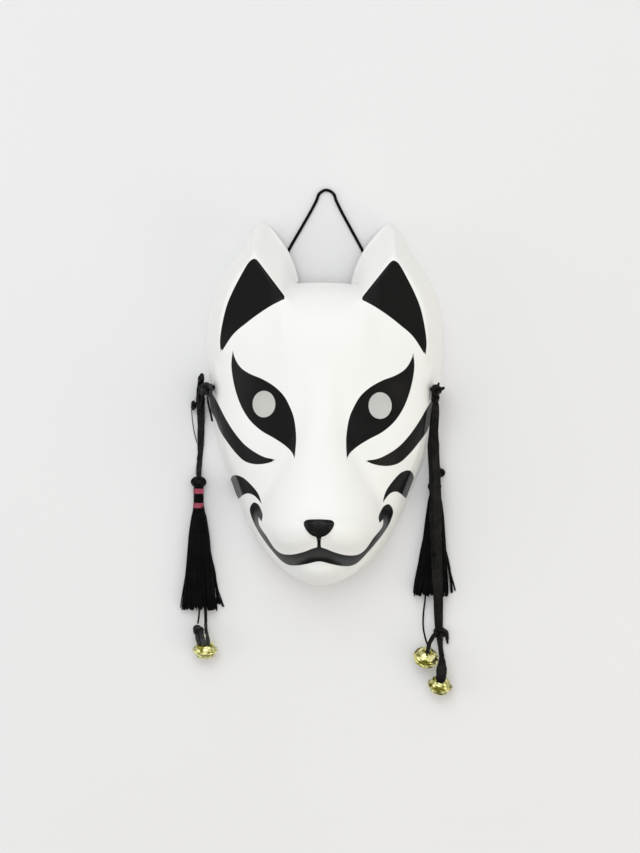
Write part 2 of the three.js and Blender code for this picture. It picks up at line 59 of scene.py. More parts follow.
# The mask's own sizes, in millimetres
MASK_WIDTH = 166.0
MASK_HEIGHT = 254.0
MASK_DEPTH = 88.0
WALL = 2.0
RIM_ARCH = 7.0
EYE_HOLE = (16.0, 18.4)
EYE_PLACE = (40.2, -1.3)
TEMPLE_HOLE = 4.8
TEMPLE_PLACE = (10.0, 18.0)

# The drawn face that the form is worked out on
DRAWN = (166.0, 254.0, 88.0)
STRETCH = np.array([MASK_WIDTH / DRAWN[0], MASK_HEIGHT / DRAWN[1], MASK_DEPTH / DRAWN[2]])
HEAD_HALF_WIDTH = 83.0
HEAD_WIDEST_Y = 40.0
CHIN_Y = -127.0
CROWN_Y = 84.0
SPINE_TOP = 15.0
SPINE_BOTTOM = -100.0
DOME_HEIGHT = 57.0
DOME_MIDDLE = 20.0
CHEEK_PINCH = 2.0
CHEEK_PINCH_Y = -58.0
CHEEK_PINCH_REACH = 20.0
EAR_TIP = (44.5, 127.0)
EAR_FOOT = (18.0, 83.7)
EAR_INSIDE = [EAR_FOOT, (21.7, 96.3), (26, 106), (32, 114.5), (40.5, 124.5), EAR_TIP]
EAR_OUTSIDE = [
    EAR_TIP, (51, 121.5), (61, 104), (69.7, 92.8), (HEAD_HALF_WIDTH - 4.2, 73),
    (HEAD_HALF_WIDTH - 0.4, 55), (HEAD_HALF_WIDTH, HEAD_WIDEST_Y),
]
EAR_FACE = (48.2, 100.8, 45.5)
EAR_FACE_SLOPE = (-0.306, 0.0571)
EAR_BEVEL = 10.5
EAR_FOLD = (26.8, 73.6, 48.0)
EAR_FOLD_WAY = (0.786, 0.618)
EAR_FOLD_SLOPE = 2.6
EAR_DROOP_FROM = 40.0
SNOUT_HALF_WIDTH = 26.0
SNOUT_FLARE = 15.0
SNOUT_FALL = 40.0
MUZZLE_STEP = 6.0
SNOUT_PROFILE = [
    (-127, 30), (-109, 62), (-101, 73), (-94, 80), (-86, 83.6), (-77, 82), (-60, 77),
    (-40, 70), (-20, 64), (0, 60), (20, 56), (50, 42), (90, 20),
]
CHIN_MIDDLE_Y = -111.0
CHIN_HEIGHT = 60.0
CHIN_RADII = (23.0, 16.0)
NOSE_TOP_Y = -82.0
NOSE_HEIGHT = 12.0
NOSE_HALF_WIDTH = 12.0
NOSE_RELIEF = 3.4
NOSE_EDGE = 3.2
PAD_MIDDLE = (19.0, -90.0)
PAD_RADII = (17.0, 13.0)
PAD_RELIEF = 3.5
SOCKET_MIDDLE = (40.0, -2.0)
SOCKET_RADII = (20.0, 16.0)
SOCKET_DEPTH = 3.0


# Shaping functions, the same as the solids use


def ease(low, high, value):
    """0 at low and 1 at high, with a soft start and end."""
    t = np.clip((value - low) / (high - low), 0, 1)
    return t * t * (3 - 2 * t)


def soft_max(a, b, blend):
    """The larger of two heights, with their meeting rounded over the blend."""
    h = np.maximum(blend - np.abs(a - b), 0) / blend
    return np.maximum(a, b) + h * h * blend / 4


def soft_min(a, b, blend):
    return -soft_max(-a, -b, blend)


def smooth_points(points, steps):
    """Evenly spaced points of a centripetal Catmull-Rom curve through the given points."""
    p = np.array(points, float)
    p = np.vstack([2 * p[:1] - p[1:2], p, 2 * p[-1:] - p[-2:-1]])
    fine = []
    for i in range(1, len(p) - 2):
        a, b, c, d = p[i - 1 : i + 3]
        k0, k1, k2 = (max(np.sum((v - u) ** 2) ** 0.25, 1e-4) for u, v in ((a, b), (b, c), (c, d)))
        m1 = ((b - a) / k0 - (c - a) / (k0 + k1) + (c - b) / k1) * k1
        m2 = ((c - b) / k1 - (d - b) / (k1 + k2) + (d - c) / k2) * k1
        t = np.linspace(0, 1, 41)[:-1, None]
        fine.append(
            (2 * t**3 - 3 * t**2 + 1) * b + (t**3 - 2 * t**2 + t) * m1
            + (3 * t**2 - 2 * t**3) * c + (t**3 - t**2) * m2
        )
    fine.append(p[-2:-1])
    return even_points(np.vstack(fine), steps)


def even_points(line, steps):
    """The line's points spread evenly along it."""
    line = np.array(line, float)
    along = np.concatenate([[0], np.cumsum(np.linalg.norm(np.diff(line, axis=0), axis=1))])
    want = np.linspace(0, along[-1], steps + 1)
    return np.stack([np.interp(want, along, line[:, k]) for k in range(line.shape[1])], axis=1)


def profile_at(profile, y):
    """Height at y on a smooth curve through (y, height) points."""
    p = np.array(profile, float)
    slope = np.gradient(p[:, 1], p[:, 0])
    slope[1:-1] = (p[2:, 1] - p[:-2, 1]) / (p[2:, 0] - p[:-2, 0])
    i = np.clip(np.searchsorted(p[:, 0], y, side="right") - 1, 0, len(p) - 2)
    span = p[i + 1, 0] - p[i, 0]
    t = np.clip((y - p[i, 0]) / span, 0, 1)
    return (
        (2 * t**3 - 3 * t**2 + 1) * p[i, 1] + (t**3 - 2 * t**2 + t) * slope[i] * span
        + (3 * t**2 - 2 * t**3) * p[i + 1, 1] + (t**3 - t**2) * slope[i + 1] * span
    )


def distance_to(line, x, y):
    """Distance from each place to a line of points."""
    nearest = np.full(np.shape(x), 1e9)
    for (x0, y0), (x1, y1) in zip(line[:-1], line[1:]):
        dx, dy = x1 - x0, y1 - y0
        t = np.clip(((x - x0) * dx + (y - y0) * dy) / max(dx * dx + dy * dy, 1e-9), 0, 1)
        nearest = np.minimum(nearest, np.hypot(x - x0 - t * dx, y - y0 - t * dy))
    return nearest


def head_half_width(y):
    """Half width of the rounded head at a height on the face, without the ears."""
    y = np.asarray(y, float)
    up = np.clip((y - HEAD_WIDEST_Y) / (CROWN_Y - HEAD_WIDEST_Y), 0, 1)
    down = np.clip((HEAD_WIDEST_Y - y) / (HEAD_WIDEST_Y - CHIN_Y), 0, 1)
    cheek_pinch = CHEEK_PINCH * np.exp(-(((y - CHEEK_PINCH_Y) / CHEEK_PINCH_REACH) ** 2))
    low = HEAD_HALF_WIDTH * (1 - down**1.85) ** (1 / 1.9) - cheek_pinch
    high = HEAD_HALF_WIDTH * (1 - up**2.6) ** (1 / 2.6)
    return np.maximum(0, np.where(y > HEAD_WIDEST_Y, high, low))


EAR_INSIDE_LINE = smooth_points(EAR_INSIDE, 24)
EAR_OUTSIDE_LINE = np.vstack(
    [smooth_points(EAR_OUTSIDE, 24)] + [[[head_half_width(y), y]] for y in range(30, -60, -10)]
)


def rim_height(x, y):
    """The rim is raised between the ears, so the strap passes out under it."""
    return RIM_ARCH * (1 - ease(27, 42, x)) * ease(10, 80, y)


def head_height(x, y):
    below = np.clip((DOME_MIDDLE - y) / (DOME_MIDDLE - CHIN_Y), 0, 1)
    above = np.clip((y - DOME_MIDDLE) / (CROWN_Y - DOME_MIDDLE), 0, 1)
    crown = np.where(y < DOME_MIDDLE, (1 - below**2.6) ** 0.385, (1 - above**2.4) ** 0.417)
    across = np.minimum(1, x / np.maximum(head_half_width(y), 0.001))
    return DOME_HEIGHT * crown * np.sqrt(1 - across**2.2)


def above_mouth(x, y):
    """How far a point is above the line between the muzzle and the lower lip."""
    return y + 101 + 5.5 * ease(0, 18, x) - 0.045 * np.maximum(0, x - 20) ** 2


def snout_height(x, y):
    half = SNOUT_HALF_WIDTH + SNOUT_FLARE * ease(0, -75, y)
    muzzle_end = MUZZLE_STEP * ease(2, -11, above_mouth(x, y))
    return profile_at(SNOUT_PROFILE, y) - SNOUT_FALL * (x / half) ** 2.7 - muzzle_end


def chin_height(x, y):
    away = np.hypot(x / CHIN_RADII[0], (y - CHIN_MIDDLE_Y) / CHIN_RADII[1])
    return CHIN_HEIGHT * np.maximum(0, 1 - away**2.6) ** 0.45


def nose_height(x, y):
    down = (NOSE_TOP_Y - y) / NOSE_HEIGHT
    taper = np.sqrt(np.maximum(0, 1 - np.maximum(0, down) ** 1.5))
    half = NOSE_HALF_WIDTH * taper * ease(-0.12, 0.12, down)
    return NOSE_RELIEF * ease(0, NOSE_EDGE, half - x)


def whisker_pad_height(x, y):
    across = (x - PAD_MIDDLE[0]) / PAD_RADII[0]
    along = (y - PAD_MIDDLE[1]) / PAD_RADII[1]
    return PAD_RELIEF * ease(1.1, 0.5, np.hypot(across, along))


def eye_socket_depth(x, y):
    across = (x - SOCKET_MIDDLE[0]) / SOCKET_RADII[0]
    along = (y - SOCKET_MIDDLE[1]) / SOCKET_RADII[1]
    return SOCKET_DEPTH * np.exp(-(across**2) - along**2)


def ear_height(x, y):
    middle_x, middle_y, high = EAR_FACE
    face = high + EAR_FACE_SLOPE[0] * (x - middle_x) + EAR_FACE_SLOPE[1] * (y - middle_y)
    face = face - 30 * (1 - ease(0, 40, y)) - 0.02 * np.maximum(0, EAR_DROOP_FROM - x) ** 2
    fold_x, fold_y, fold_z = EAR_FOLD
    inward = (x - fold_x) * EAR_FOLD_WAY[0] - (y - fold_y) * EAR_FOLD_WAY[1]
    inside_edge = distance_to(EAR_INSIDE_LINE, x, y)
    rim = rim_height(x, y)
    share = inside_edge / np.maximum(inside_edge - np.minimum(inward, 0), 1e-6)
    low_wall = rim + (fold_z - rim) * share
    inside_wall = np.where(inward > 0, fold_z + EAR_FOLD_SLOPE * inward, low_wall)
    outside_wall = face * (distance_to(EAR_OUTSIDE_LINE, x, y) / EAR_BEVEL) ** 0.9
    return soft_min(soft_min(face, inside_wall, 4), outside_wall, 4)


def face_height(x, y):
    """Height of the outside of the shell over a point of the drawn face."""
    x = np.abs(x)
    rim = rim_height(x, y)
    z = rim + head_height(x, y) - eye_socket_depth(x, y)
    z = soft_max(z, snout_height(x, y), 6)
    z = soft_max(z, chin_height(x, y), 4) + nose_height(x, y) + whisker_pad_height(x, y)
    on_head = np.maximum(0, 1 - x / np.maximum(head_half_width(y), 0.001))
    z = rim + (z - rim) * np.minimum(1, np.sqrt(on_head * 12))
    z = np.where(y > 0, soft_max(z, ear_height(x, y), 3 + 5 * ease(0, 40, y)), z)
    return np.maximum(rim, z)


def half_outline(crown_steps, inside_steps, outside_steps, face_steps):
    """Half of the outline, from the middle of the forehead's edge round the ear to the chin."""
    x = EAR_FOOT[0] * np.arange(crown_steps) / crown_steps
    crown = np.stack([x, CROWN_Y - 0.3 * (x / EAR_FOOT[0]) ** 2], axis=1)
    angle = np.linspace(0, math.pi / 2, 801)[1:]
    y = HEAD_WIDEST_Y - (HEAD_WIDEST_Y - CHIN_Y) * np.sin(angle)
    face = np.stack([head_half_width(y), y], axis=1)
    face[-1, 0] = 0
    return np.vstack([
        crown,
        smooth_points(EAR_INSIDE, inside_steps)[:-1],
        smooth_points(EAR_OUTSIDE, outside_steps),
        even_points(face, face_steps)[1:],
    ])


def ray_grid(outline, rings):
    """Rays from the middle line out to the rim, with points spread evenly along the surface."""
    count = len(outline) - 1
    fall = (SPINE_TOP - SPINE_BOTTOM) * np.arange(count + 1) / count
    spine = np.stack([np.zeros(count + 1), SPINE_TOP - fall], axis=1)
    t = np.linspace(0, 1, 401)[:, None]
    grid = []
    for start, end in zip(spine, outline):
        line = start * (1 - t) + end * t
        z = face_height(line[:, 0], line[:, 1])
        z[-1] = rim_height(abs(line[-1, 0]), line[-1, 1])
        fine = np.column_stack([line, z]) * STRETCH
        along = np.concatenate([[0], np.cumsum(np.linalg.norm(np.diff(fine, axis=0), axis=1))])
        share = np.linspace(0, 1, rings + 1)
        want = along[-1] * (0.8 * share + 0.2 * share**2)
        grid.append(np.stack([np.interp(want, along, fine[:, k]) for k in range(3)], axis=1))
    return np.array(grid)


# Meshes


class Skin:
    """Collects closed shapes, in millimetres, and makes one mesh object of them, in metres."""

    def __init__(self):
        self.points = []
        self.faces = []
        self.corners = []
        self.slots = []

    def add(self, points, faces, corners=None, slot=0):
        start = len(self.points)
        self.points.extend(map(tuple, points))
        self.faces.extend([tuple(start + i for i in face) for face in faces])
        self.corners.extend(corners or [[(0.0, 0.0)] * len(face) for face in faces])
        self.slots.extend([slot] * len(faces))

    def make(self, name, materials, crease=50.0):
        mesh = bpy.data.meshes.new(name)
        mesh.from_pydata(np.array(self.points) * MM, [], self.faces)
        for material in materials:
            mesh.materials.append(material)
        mesh.polygons.foreach_set("material_index", self.slots)
        layer = mesh.uv_layers.new(name="UVMap")
        layer.data.foreach_set("uv", np.array([uv for face in self.corners for uv in face]).ravel())
        mesh.shade_smooth()
        mesh.set_sharp_from_angle(angle=math.radians(crease))
        made = bpy.data.objects.new(name, mesh)
        bpy.context.scene.collection.objects.link(made)
        return made


def unit(vectors):
    """The vectors with a length of 1."""
    return vectors / np.maximum(np.linalg.norm(vectors, axis=-1, keepdims=True), 1e-9)


def sweep(route, section, twist=0.0):
    """A closed skin along a route. section(share) gives its outline as (across, up) offsets."""
    route = np.array(route, float)
    rows = len(route)
    tangent = unit(np.gradient(route, axis=0))
    along = np.concatenate([[0], np.cumsum(np.linalg.norm(np.diff(route, axis=0), axis=1))])
    side = np.cross(tangent[0], (0, 0, 1))
    if np.linalg.norm(side) < 0.05:
        side = np.array([1.0, 0, 0])
    points = []
    for i in range(rows):
        side = unit(side - tangent[i] * np.dot(side, tangent[i]))
        share = along[i] / along[-1]
        offsets = np.array(section(share))
        turn = twist * share
        across = side * math.cos(turn) + np.cross(tangent[i], side) * math.sin(turn)
        up = np.cross(across, tangent[i])
        points.append(route[i] + offsets[:, :1] * across + offsets[:, 1:] * up)
    sides = len(points[0])
    faces = []
    corners = []
    for i in range(rows - 1):
        for j in range(sides):
            k = (j + 1) % sides
            faces.append((i * sides + j, (i + 1) * sides + j, (i + 1) * sides + k, i * sides + k))
            u0, u1 = j / sides, (j + 1) / sides
            corners.append([(u0, along[i]), (u0, along[i + 1]), (u1, along[i + 1]), (u1, along[i])])
    first = tuple(range(sides))
    last = tuple((rows - 1) * sides + j for j in reversed(range(sides)))
    for cap, place in ((first, 0), (last, along[-1])):
        faces.append(cap)
        corners.append([(0.5, place)] * sides)
    return np.vstack(points), faces, corners


def oval(width, thickness=None, sides=10):
    """Offsets of a section that is the same all along, round where it has no thickness given."""
    angle = (np.arange(sides) + 0.5) / sides * 2 * math.pi
    shape = np.stack([np.cos(angle) * 0.5, -np.sin(angle) * 0.5], axis=1)
    return lambda share: shape * (width, thickness or width)


def lathe(profile, steps):
    """A closed surface of revolution about Y from (radius, y) points, pole to pole."""
    profile = np.array(profile, float)
    rows = len(profile)
    angle = np.arange(steps) / steps * 2 * math.pi
    points = [(0, profile[0, 1], 0)]
    for radius, y in profile[1:-1]:
        points.extend(zip(np.cos(angle) * radius, np.full(steps, y), np.sin(angle) * radius))
    points.append((0, profile[-1, 1], 0))
    faces = []
    end = len(points) - 1
    for j in range(steps):
        k = (j + 1) % steps
        faces.append((0, 1 + j, 1 + k))
        for i in range(rows - 3):
            a = 1 + i * steps
            faces.append((a + j, a + steps + j, a + steps + k, a + k))
        a = 1 + (rows - 3) * steps
        faces.append((a + j, end, a + k))
    return np.array(points), faces


def ellipsoid(center, radii, steps):
    """An egg of three radii."""
    angle = np.linspace(-math.pi / 2, math.pi / 2, steps // 2 + 1)
    points, faces = lathe(np.stack([np.cos(angle), np.sin(angle)], axis=1), steps)
    return points * radii + center, faces


def cut(target, cutter):
    """Takes the cutter's shape out of the target and removes the cutter."""
    modifier = target.modifiers.new("cut", "BOOLEAN")
    modifier.operation = "DIFFERENCE"
    modifier.solver = "EXACT"
    modifier.object = cutter
    bpy.context.view_layer.update()
    result = bpy.data.meshes.new_from_object(target.evaluated_get(bpy.context.evaluated_depsgraph_get()))
    target.modifiers.clear()
    target.data = result
    bpy.data.objects.remove(cutter)


def route_mm(points, spacing=1.2):
    """A smooth route through the given points, with a point about every spacing millimetres."""
    length = np.sum(np.linalg.norm(np.diff(np.array(points, float), axis=0), axis=1))
    return smooth_points(points, max(8, round(length / spacing)))


def metres(point):
    return tuple(float(v) * MM for v in point)


# Materials


def linear(hex_colour):
    """A linear RGBA colour from an sRGB one written as in #F4F2EC."""
    values = [int(hex_colour[i : i + 2], 16) / 255 for i in (1, 3, 5)]
    return [v / 12.92 if v <= 0.04045 else ((v + 0.055) / 1.055) ** 2.4 for v in values] + [1.0]


def add_node(tree, kind, inputs=None, **settings):
    """A shader node, with its settings and its inputs given as values or as sockets to link."""
    made = tree.nodes.new("ShaderNode" + kind)
    for setting, value in settings.items():
        setattr(made, setting, value)
    for place, value in (inputs or {}).items():
        if isinstance(value, bpy.types.NodeSocket):
            tree.links.new(value, made.inputs[place])
        else:
            made.inputs[place].default_value = value
    return made


def new_material(name):
    """(material, its node tree, its Principled shader)"""
    made = bpy.data.materials.new(name)
    made.use_nodes = True
    return made, made.node_tree, made.node_tree.nodes["Principled BSDF"]


def noise(tree, place, scale, detail):
    inputs = {"Vector": place, "Scale": scale, "Detail": detail}
    return add_node(tree, "TexNoise", inputs).outputs["Fac"]


def maths(tree, operation, *values):
    return add_node(tree, "Math", dict(enumerate(values)), operation=operation).outputs["Value"]


def remap(tree, value, **limits):
    """The value moved from one span to another; limits are written as from_min and so on."""
    inputs = {key.replace("_", " ").title(): limit for key, limit in limits.items()}
    return add_node(tree, "MapRange", {"Value": value, **inputs}).outputs["Result"]


def mix(tree, share, dark, light):
    """A colour between two, each a #RRGGBB text or a socket."""
    ends = [linear(end) if isinstance(end, str) else end for end in (dark, light)]
    return add_node(tree, "Mix", {0: share, 6: ends[0], 7: ends[1]}, data_type="RGBA").outputs[2]


def set_finish(tree, shader, colour, roughness, height, bump, gloss=0.5):
    """Sets the shader's colour, roughness (a value or a socket), gloss and bump in metres."""
    tree.links.new(colour, shader.inputs["Base Color"])
    if isinstance(roughness, bpy.types.NodeSocket):
        tree.links.new(roughness, shader.inputs["Roughness"])
    else:
        shader.inputs["Roughness"].default_value = roughness
    shader.inputs["Specular IOR Level"].default_value = gloss
    if height is not None:
        raised = add_node(tree, "Bump", {"Height": height, "Distance": bump, "Strength": 1.0})
        tree.links.new(raised.outputs["Normal"], shader.inputs["Normal"])


def painted_plastic(settings):
    """Glossy white moulded plastic with gloss black paint inside the painted outlines."""
    material, tree, shader = new_material("gloss_white_plastic_black_paint")
    place = add_node(tree, "TexCoord").outputs["Object"]
    distance = add_node(tree, "Attribute", attribute_name="paint").outputs["Fac"]
    painted = remap(
        tree, distance, from_min=PAINT_EDGE, from_max=-PAINT_EDGE, to_min=0.0, to_max=1.0
    )
    white = mix(tree, noise(tree, place, 18.0, 3.0), "#E7E7E4", "#EEEEEC")
    black = mix(tree, noise(tree, place, 160.0, 4.0), "#030303", "#0B0B0A")
    rough = remap(
        tree, painted, to_min=settings.plastic_roughness, to_max=settings.paint_roughness
    )
    peel = maths(tree, "MULTIPLY_ADD", noise(tree, place, 420.0, 2.0), 0.12, painted)
    set_finish(tree, shader, mix(tree, painted, white, black), rough, peel, 0.00008, gloss=0.15)
    return material


def bare_plastic():
    """The unpainted inside and rim of the shell: satin white plastic with fine mould texture."""
    material, tree, shader = new_material("satin_white_plastic")
    place = add_node(tree, "TexCoord").outputs["Object"]
    colour = mix(tree, noise(tree, place, 30.0, 4.0), "#E6E3DA", "#F0EEE8")
    set_finish(tree, shader, colour, 0.45, noise(tree, place, 900.0, 3.0), 0.00006)
    return material


def braid(name, dark, light, around, pitch, depth):
    """Braided or twisted thread on a skin whose UV runs round (0 to 1) and along (in mm)."""
    material, tree, shader = new_material(name)
    parts = add_node(tree, "SeparateXYZ", {0: add_node(tree, "UVMap").outputs["UV"]})
    turn = maths(tree, "MULTIPLY", parts.outputs["X"], 2 * math.pi * around)
    rise = maths(tree, "MULTIPLY", parts.outputs["Y"], 2 * math.pi / pitch)
    waves = [maths(tree, "SINE", maths(tree, way, turn, rise)) for way in ("ADD", "SUBTRACT")]
    height = remap(tree, maths(tree, "MAXIMUM", *waves), from_min=-0.4, from_max=1.0)
    # The colour follows the strands' height: the grooves between strands are painted darker than the
    # crests, a painted shade.
    set_finish(tree, shader, mix(tree, height, dark, light), 0.6, height, depth, gloss=0.07)
    return material


def thread(name, dark, light, scale, roughness, gloss):
    """Silky thread: fine streaks along the strand, with a soft sheen."""
    material, tree, shader = new_material(name)
    uv = add_node(tree, "UVMap").outputs["UV"]
    stretched = add_node(tree, "Mapping", {"Vector": uv, "Scale": (scale, 0.12, 1.0)})
    streaks = noise(tree, stretched.outputs["Vector"], 3.0, 3.0)
    patches = noise(tree, add_node(tree, "TexCoord").outputs["Object"], 140.0, 2.0)
    share = remap(
        tree, maths(tree, "MULTIPLY", streaks, patches), from_min=0.12, from_max=0.42
    )
    colour = mix(tree, share, dark, light)
    set_finish(tree, shader, colour, roughness, streaks, 0.00012, gloss=gloss)
    return material


def brass():
    """Thin pressed brass with a yellow lacquer. Its colour runs in random patches from a dark olive
    painted reflection to a pale painted highlight; the same noise gives its dents and its roughness.
    """
    material, tree, shader = new_material("yellow_brass")
    dents_and_painted_glints = noise(tree, add_node(tree, "TexCoord").outputs["Object"], 260.0, 2.0)
    # The dark olive end is a painted reflection and the pale end a painted highlight, mixed in random
    # patches.
    colour = mix(tree, remap(tree, dents_and_painted_glints, from_min=0.4, from_max=0.58), "#7F7C30", "#F2EEAE")
    set_finish(tree, shader, colour, remap(tree, dents_and_painted_glints, to_min=0.08, to_max=0.24), dents_and_painted_glints, 0.0002)
    shader.inputs["Metallic"].default_value = 1.0
    return material


def floor_paper():
    """A plain pale grey floor."""
    material, tree, shader = new_material("pale_grey_floor")
    grain = noise(tree, add_node(tree, "TexCoord").outputs["Object"], 3.0, 2.0)
    set_finish(tree, shader, mix(tree, grain, "#DFDEDF", "#E3E2E3"), 0.9, None, 0.0, gloss=0.1)
    return material


# Paint

# Half the width of the paint's edge, in millimetres
PAINT_EDGE = 0.12
# Each painted area is a ring of runs that meet at corners: half of the face, as (|X|, Y).
# A run goes on from the last point of the run before it, the first from the last run's.
EAR_PAINT = [
    [(45.6, 98.4)],
    [
        (48.2, 100.6), (51.4, 99.4), (53.4, 97), (57.8, 89.3), (64, 77.1), (68.3, 66), (72.3, 44),
        (71.7, 34.2),
    ],
    [(62.7, 47.7), (54, 55.3), (45.3, 62), (36, 68.1), (29.4, 71.6)],
    [(26.9, 73), (27.6, 75.2)],
]
EYE_PAINT = [
    [
        (61.5, 30.5), (57.5, 24.4), (51.1, 20.1), (42.4, 16.6), (33.7, 11.6), (26.7, 5),
        (22.1, -3.2), (19.4, -10.2), (17.5, -24.2), (18.3, -39.3),
    ],
    [
        (20, -35.1), (25, -30.2), (33.1, -24.9), (42.4, -19.7), (50.5, -12.5), (56.3, -3.7),
        (60.3, 6.2), (63, 17.2), (64.1, 27), (63.1, 36.5),
    ],
]
STRIPE_PAINT = [
    [
        (38.9, -38.5), (45.9, -35.3), (53.9, -29.7), (61.3, -21.4), (68, -11.3), (73, -2), (76, 3),
        (82, 13), (88, 22),
    ],
    [(92, 12), (88, 4)],
    [
        (82, -3), (76, -11), (72.5, -19.3), (67.3, -27), (60.3, -35.7), (54, -41.2), (46.4, -43.3),
        (37.1, -42.3), (30.6, -39.7),
    ],
]
HOOK_PAINT = [
    [(45.6, -60.6), (50.5, -54.5), (55.7, -50), (60.9, -48.7), (63.2, -50.2), (63.9, -52.9)],
    [(58.6, -64.8)],
    [(55.6, -62.2), (52.5, -60.8), (48.8, -61.7), (45.3, -64.9), (42.8, -68.4)],
]
MOUTH_PAINT = [
    [
        (0, -100.7), (4.1, -101.6), (10.8, -104.2), (19.7, -106.2), (26.7, -105.6), (31.4, -102.4),
        (37.1, -94.2), (43.2, -85.5), (43.8, -80.1),
    ],
    [(41.3, -83.5)],
    [
        (40.6, -79), (42.1, -74.5), (44.2, -71.2), (47.3, -70), (50.2, -74.5), (48.5, -81.5),
        (44.9, -88.6), (39.6, -96.3), (33.3, -104), (26.6, -111), (22.2, -113.4), (16.8, -113.8),
        (9.3, -112.7), (0, -110.7), (-6, -111.8),
    ],
    [(-6, -101.9)],
]
NOSE_PAINT = [
    [
        (5, -81.3), (8.8, -81.8), (10.5, -83.2), (10.6, -85.2), (9.3, -88.1), (6.8, -91.2),
        (4.2, -93), (2, -93.6),
    ],
    [(1.3, -96), (1.25, -99), (1.5, -102.5)],
    [(-6, -102.5), (-6, -81.2)],
]
PAINT = [EAR_PAINT, EYE_PAINT, STRIPE_PAINT, MOUTH_PAINT, NOSE_PAINT]
# The two hooks were painted by hand: (middle, size beside HOOK_PAINT), each as (|X|, Y)
HOOK_MIDDLE = (53.3, -58.5)
LEFT_HOOK = ((52.9, -61.4), (1.12, 1.05))
RIGHT_HOOK = ((53.2, -58.3), (1.02, 1.24))
# The painted outlines are drawn as they look from this point, in millimetres
SEEN_FROM = (0.0, -16.3, 3980.0)


def ring_of(runs):
    """One closed outline from smooth runs; a run to a single point is straight."""
    line = []
    for before, run in zip([runs[-1], *runs], runs):
        points = [before[-1], *run]
        if len(run) > 1:
            points = smooth_points(points, 6 * len(points))
        line.extend(np.array(points, float)[:-1])
    line.append(line[0])
    return np.array(line)


def inside(ring, x, y):
    """Whether each place is inside the ring."""
    crossed = np.zeros(np.shape(x), bool)
    for (x0, y0), (x1, y1) in zip(ring[:-1], ring[1:]):
        spans = (y0 > y) != (y1 > y)
        rise = y1 - y0 if y1 != y0 else 1e-9
        crossed ^= spans & (x < x0 + (y - y0) * (x1 - x0) / rise)
    return crossed


def hook_ring(middle, size):
    """The outline of one cheek's hook, at its own place and size."""
    return middle + (ring_of(HOOK_PAINT) - HOOK_MIDDLE) * size


def paint_distance(x, y, z):
    """Millimetres to the nearest painted edge, negative on the paint, as seen from in front."""
    nearer = 1 + z / SEEN_FROM[2]
    across = (x - SEEN_FROM[0]) * nearer
    y = SEEN_FROM[1] + (y - SEEN_FROM[1]) * nearer
    nearest = np.full(np.shape(x), 50.0)
    rings = [(np.abs(across), ring_of(runs)) for runs in PAINT]
    rings += [(-across, hook_ring(*LEFT_HOOK)), (across, hook_ring(*RIGHT_HOOK))]
    for x, ring in rings:
        near = (
            (x > ring[:, 0].min() - 6) & (x < ring[:, 0].max() + 6)
            & (y > ring[:, 1].min() - 6) & (y < ring[:, 1].max() + 6)
        )
        away = distance_to(ring, x[near], y[near])
        away = np.where(inside(ring, x[near], y[near]), -away, away)
        nearest[near] = np.minimum(nearest[near], away)
    return nearest


# Routes and places, in millimetres, the same as the solids have


def side_x(y, z):
    """X of the outside of the shell's side at a place on the temple."""
    near, far = 40.0, MASK_WIDTH / 2
    for _ in range(30):
        middle = (near + far) / 2
        height = face_height(np.array([middle / STRETCH[0]]), np.array([y / STRETCH[1]]))[0]
        if height * STRETCH[2] > z:
            near = middle
        else:
            far = middle
    return far


STRAP_DIAMETER = 2.1
STRAP_FLOOR = STRAP_DIAMETER / 2 + 0.1
STRAP_END = side_x(*TEMPLE_PLACE) + 0.6
STRAP_SIDE = [
    (STRAP_END, *TEMPLE_PLACE), (STRAP_END - 4.7, TEMPLE_PLACE[0] + 0.4, TEMPLE_PLACE[1] - 0.4),
    (69.5, 14.5, 14.5), (65.5, 22, 9), (61, 33, 3.6),
]
STRAP_SIDE += [
    (x, y, STRAP_FLOOR)
    for x, y in (
        (55, 50), (46, 67), (37.4, 84), (31, 96), (24.9, 108.7), (17.5, 122), (10.4, 134.8),
        (7, 141.6), (4.8, 146.8),
    )
]
STRAP_ROUTE = (
    [(-x, y, z) for x, y, z in STRAP_SIDE] + [(0, 149.2, STRAP_FLOOR)] + list(reversed(STRAP_SIDE))
)
CORD_DIAMETER = 2.2
THREAD_DIAMETER = 1.3
LEFT_RIBBON_ROUTE = [
    (-85.9, -0.2, 7), (-85.8, -4.4, 5.2), (-85.7, -10.3, 3.2), (-85.6, -19.3, 1.8), (-85.8, -31.3, 1.1),
    (-86.4, -42.3, 1.6), (-86.7, -51.1, 3.6), (-86.7, -56.3, 4.8), (-86.6, -61.3, 4.9),
]
LEFT_CORD_ROUTE = [
    (-82.4, -119.3, 5), (-81.5, -131.3, 5), (-80.8, -143.3, 4.6), (-80.6, -149.3, 4.2),
    (-80.3, -154.8, 6.4), (-80, -159, 10), (-80, -161.6, 12),
]
LEFT_THREAD_ROUTE = [
    (-86, -121.3, 5), (-85.4, -133.3, 5), (-85, -144.4, 4.4), (-85.3, -150.4, 4.4), (-85.9, -155.2, 5.8),
]
RIGHT_RIBBON_ROUTE = [
    (78.5, 2, 23.4), (78.2, -4.5, 21.6), (77.6, -13, 19.2), (77.2, -22.5, 14), (77.4, -33.2, 10.2),
    (78.2, -45.1, 9.8),
    (78.8, -59.1, 10.4), (79.4, -75.1, 10.6), (80, -93.1, 10.8), (80.7, -111.1, 11), (81.5, -127.1, 10.6),
    (82, -137.1, 8), (82.3, -146.1, 3.8), (82.7, -156.1, 2), (83.7, -167.1, 2.4), (84.6, -174.5, 5.4),
    (84.8, -180, 9.4), (84.7, -184, 12.4),
]
RIGHT_CORD_ROUTE = [
    (73.9, -111.2, 5), (73.2, -123.2, 5), (72.8, -135.2, 4.6), (71.7, -146.3, 3), (71.7, -155.3, 4.6),
    (73.2, -162.6, 9.6), (75.2, -168.2, 14.6),
]

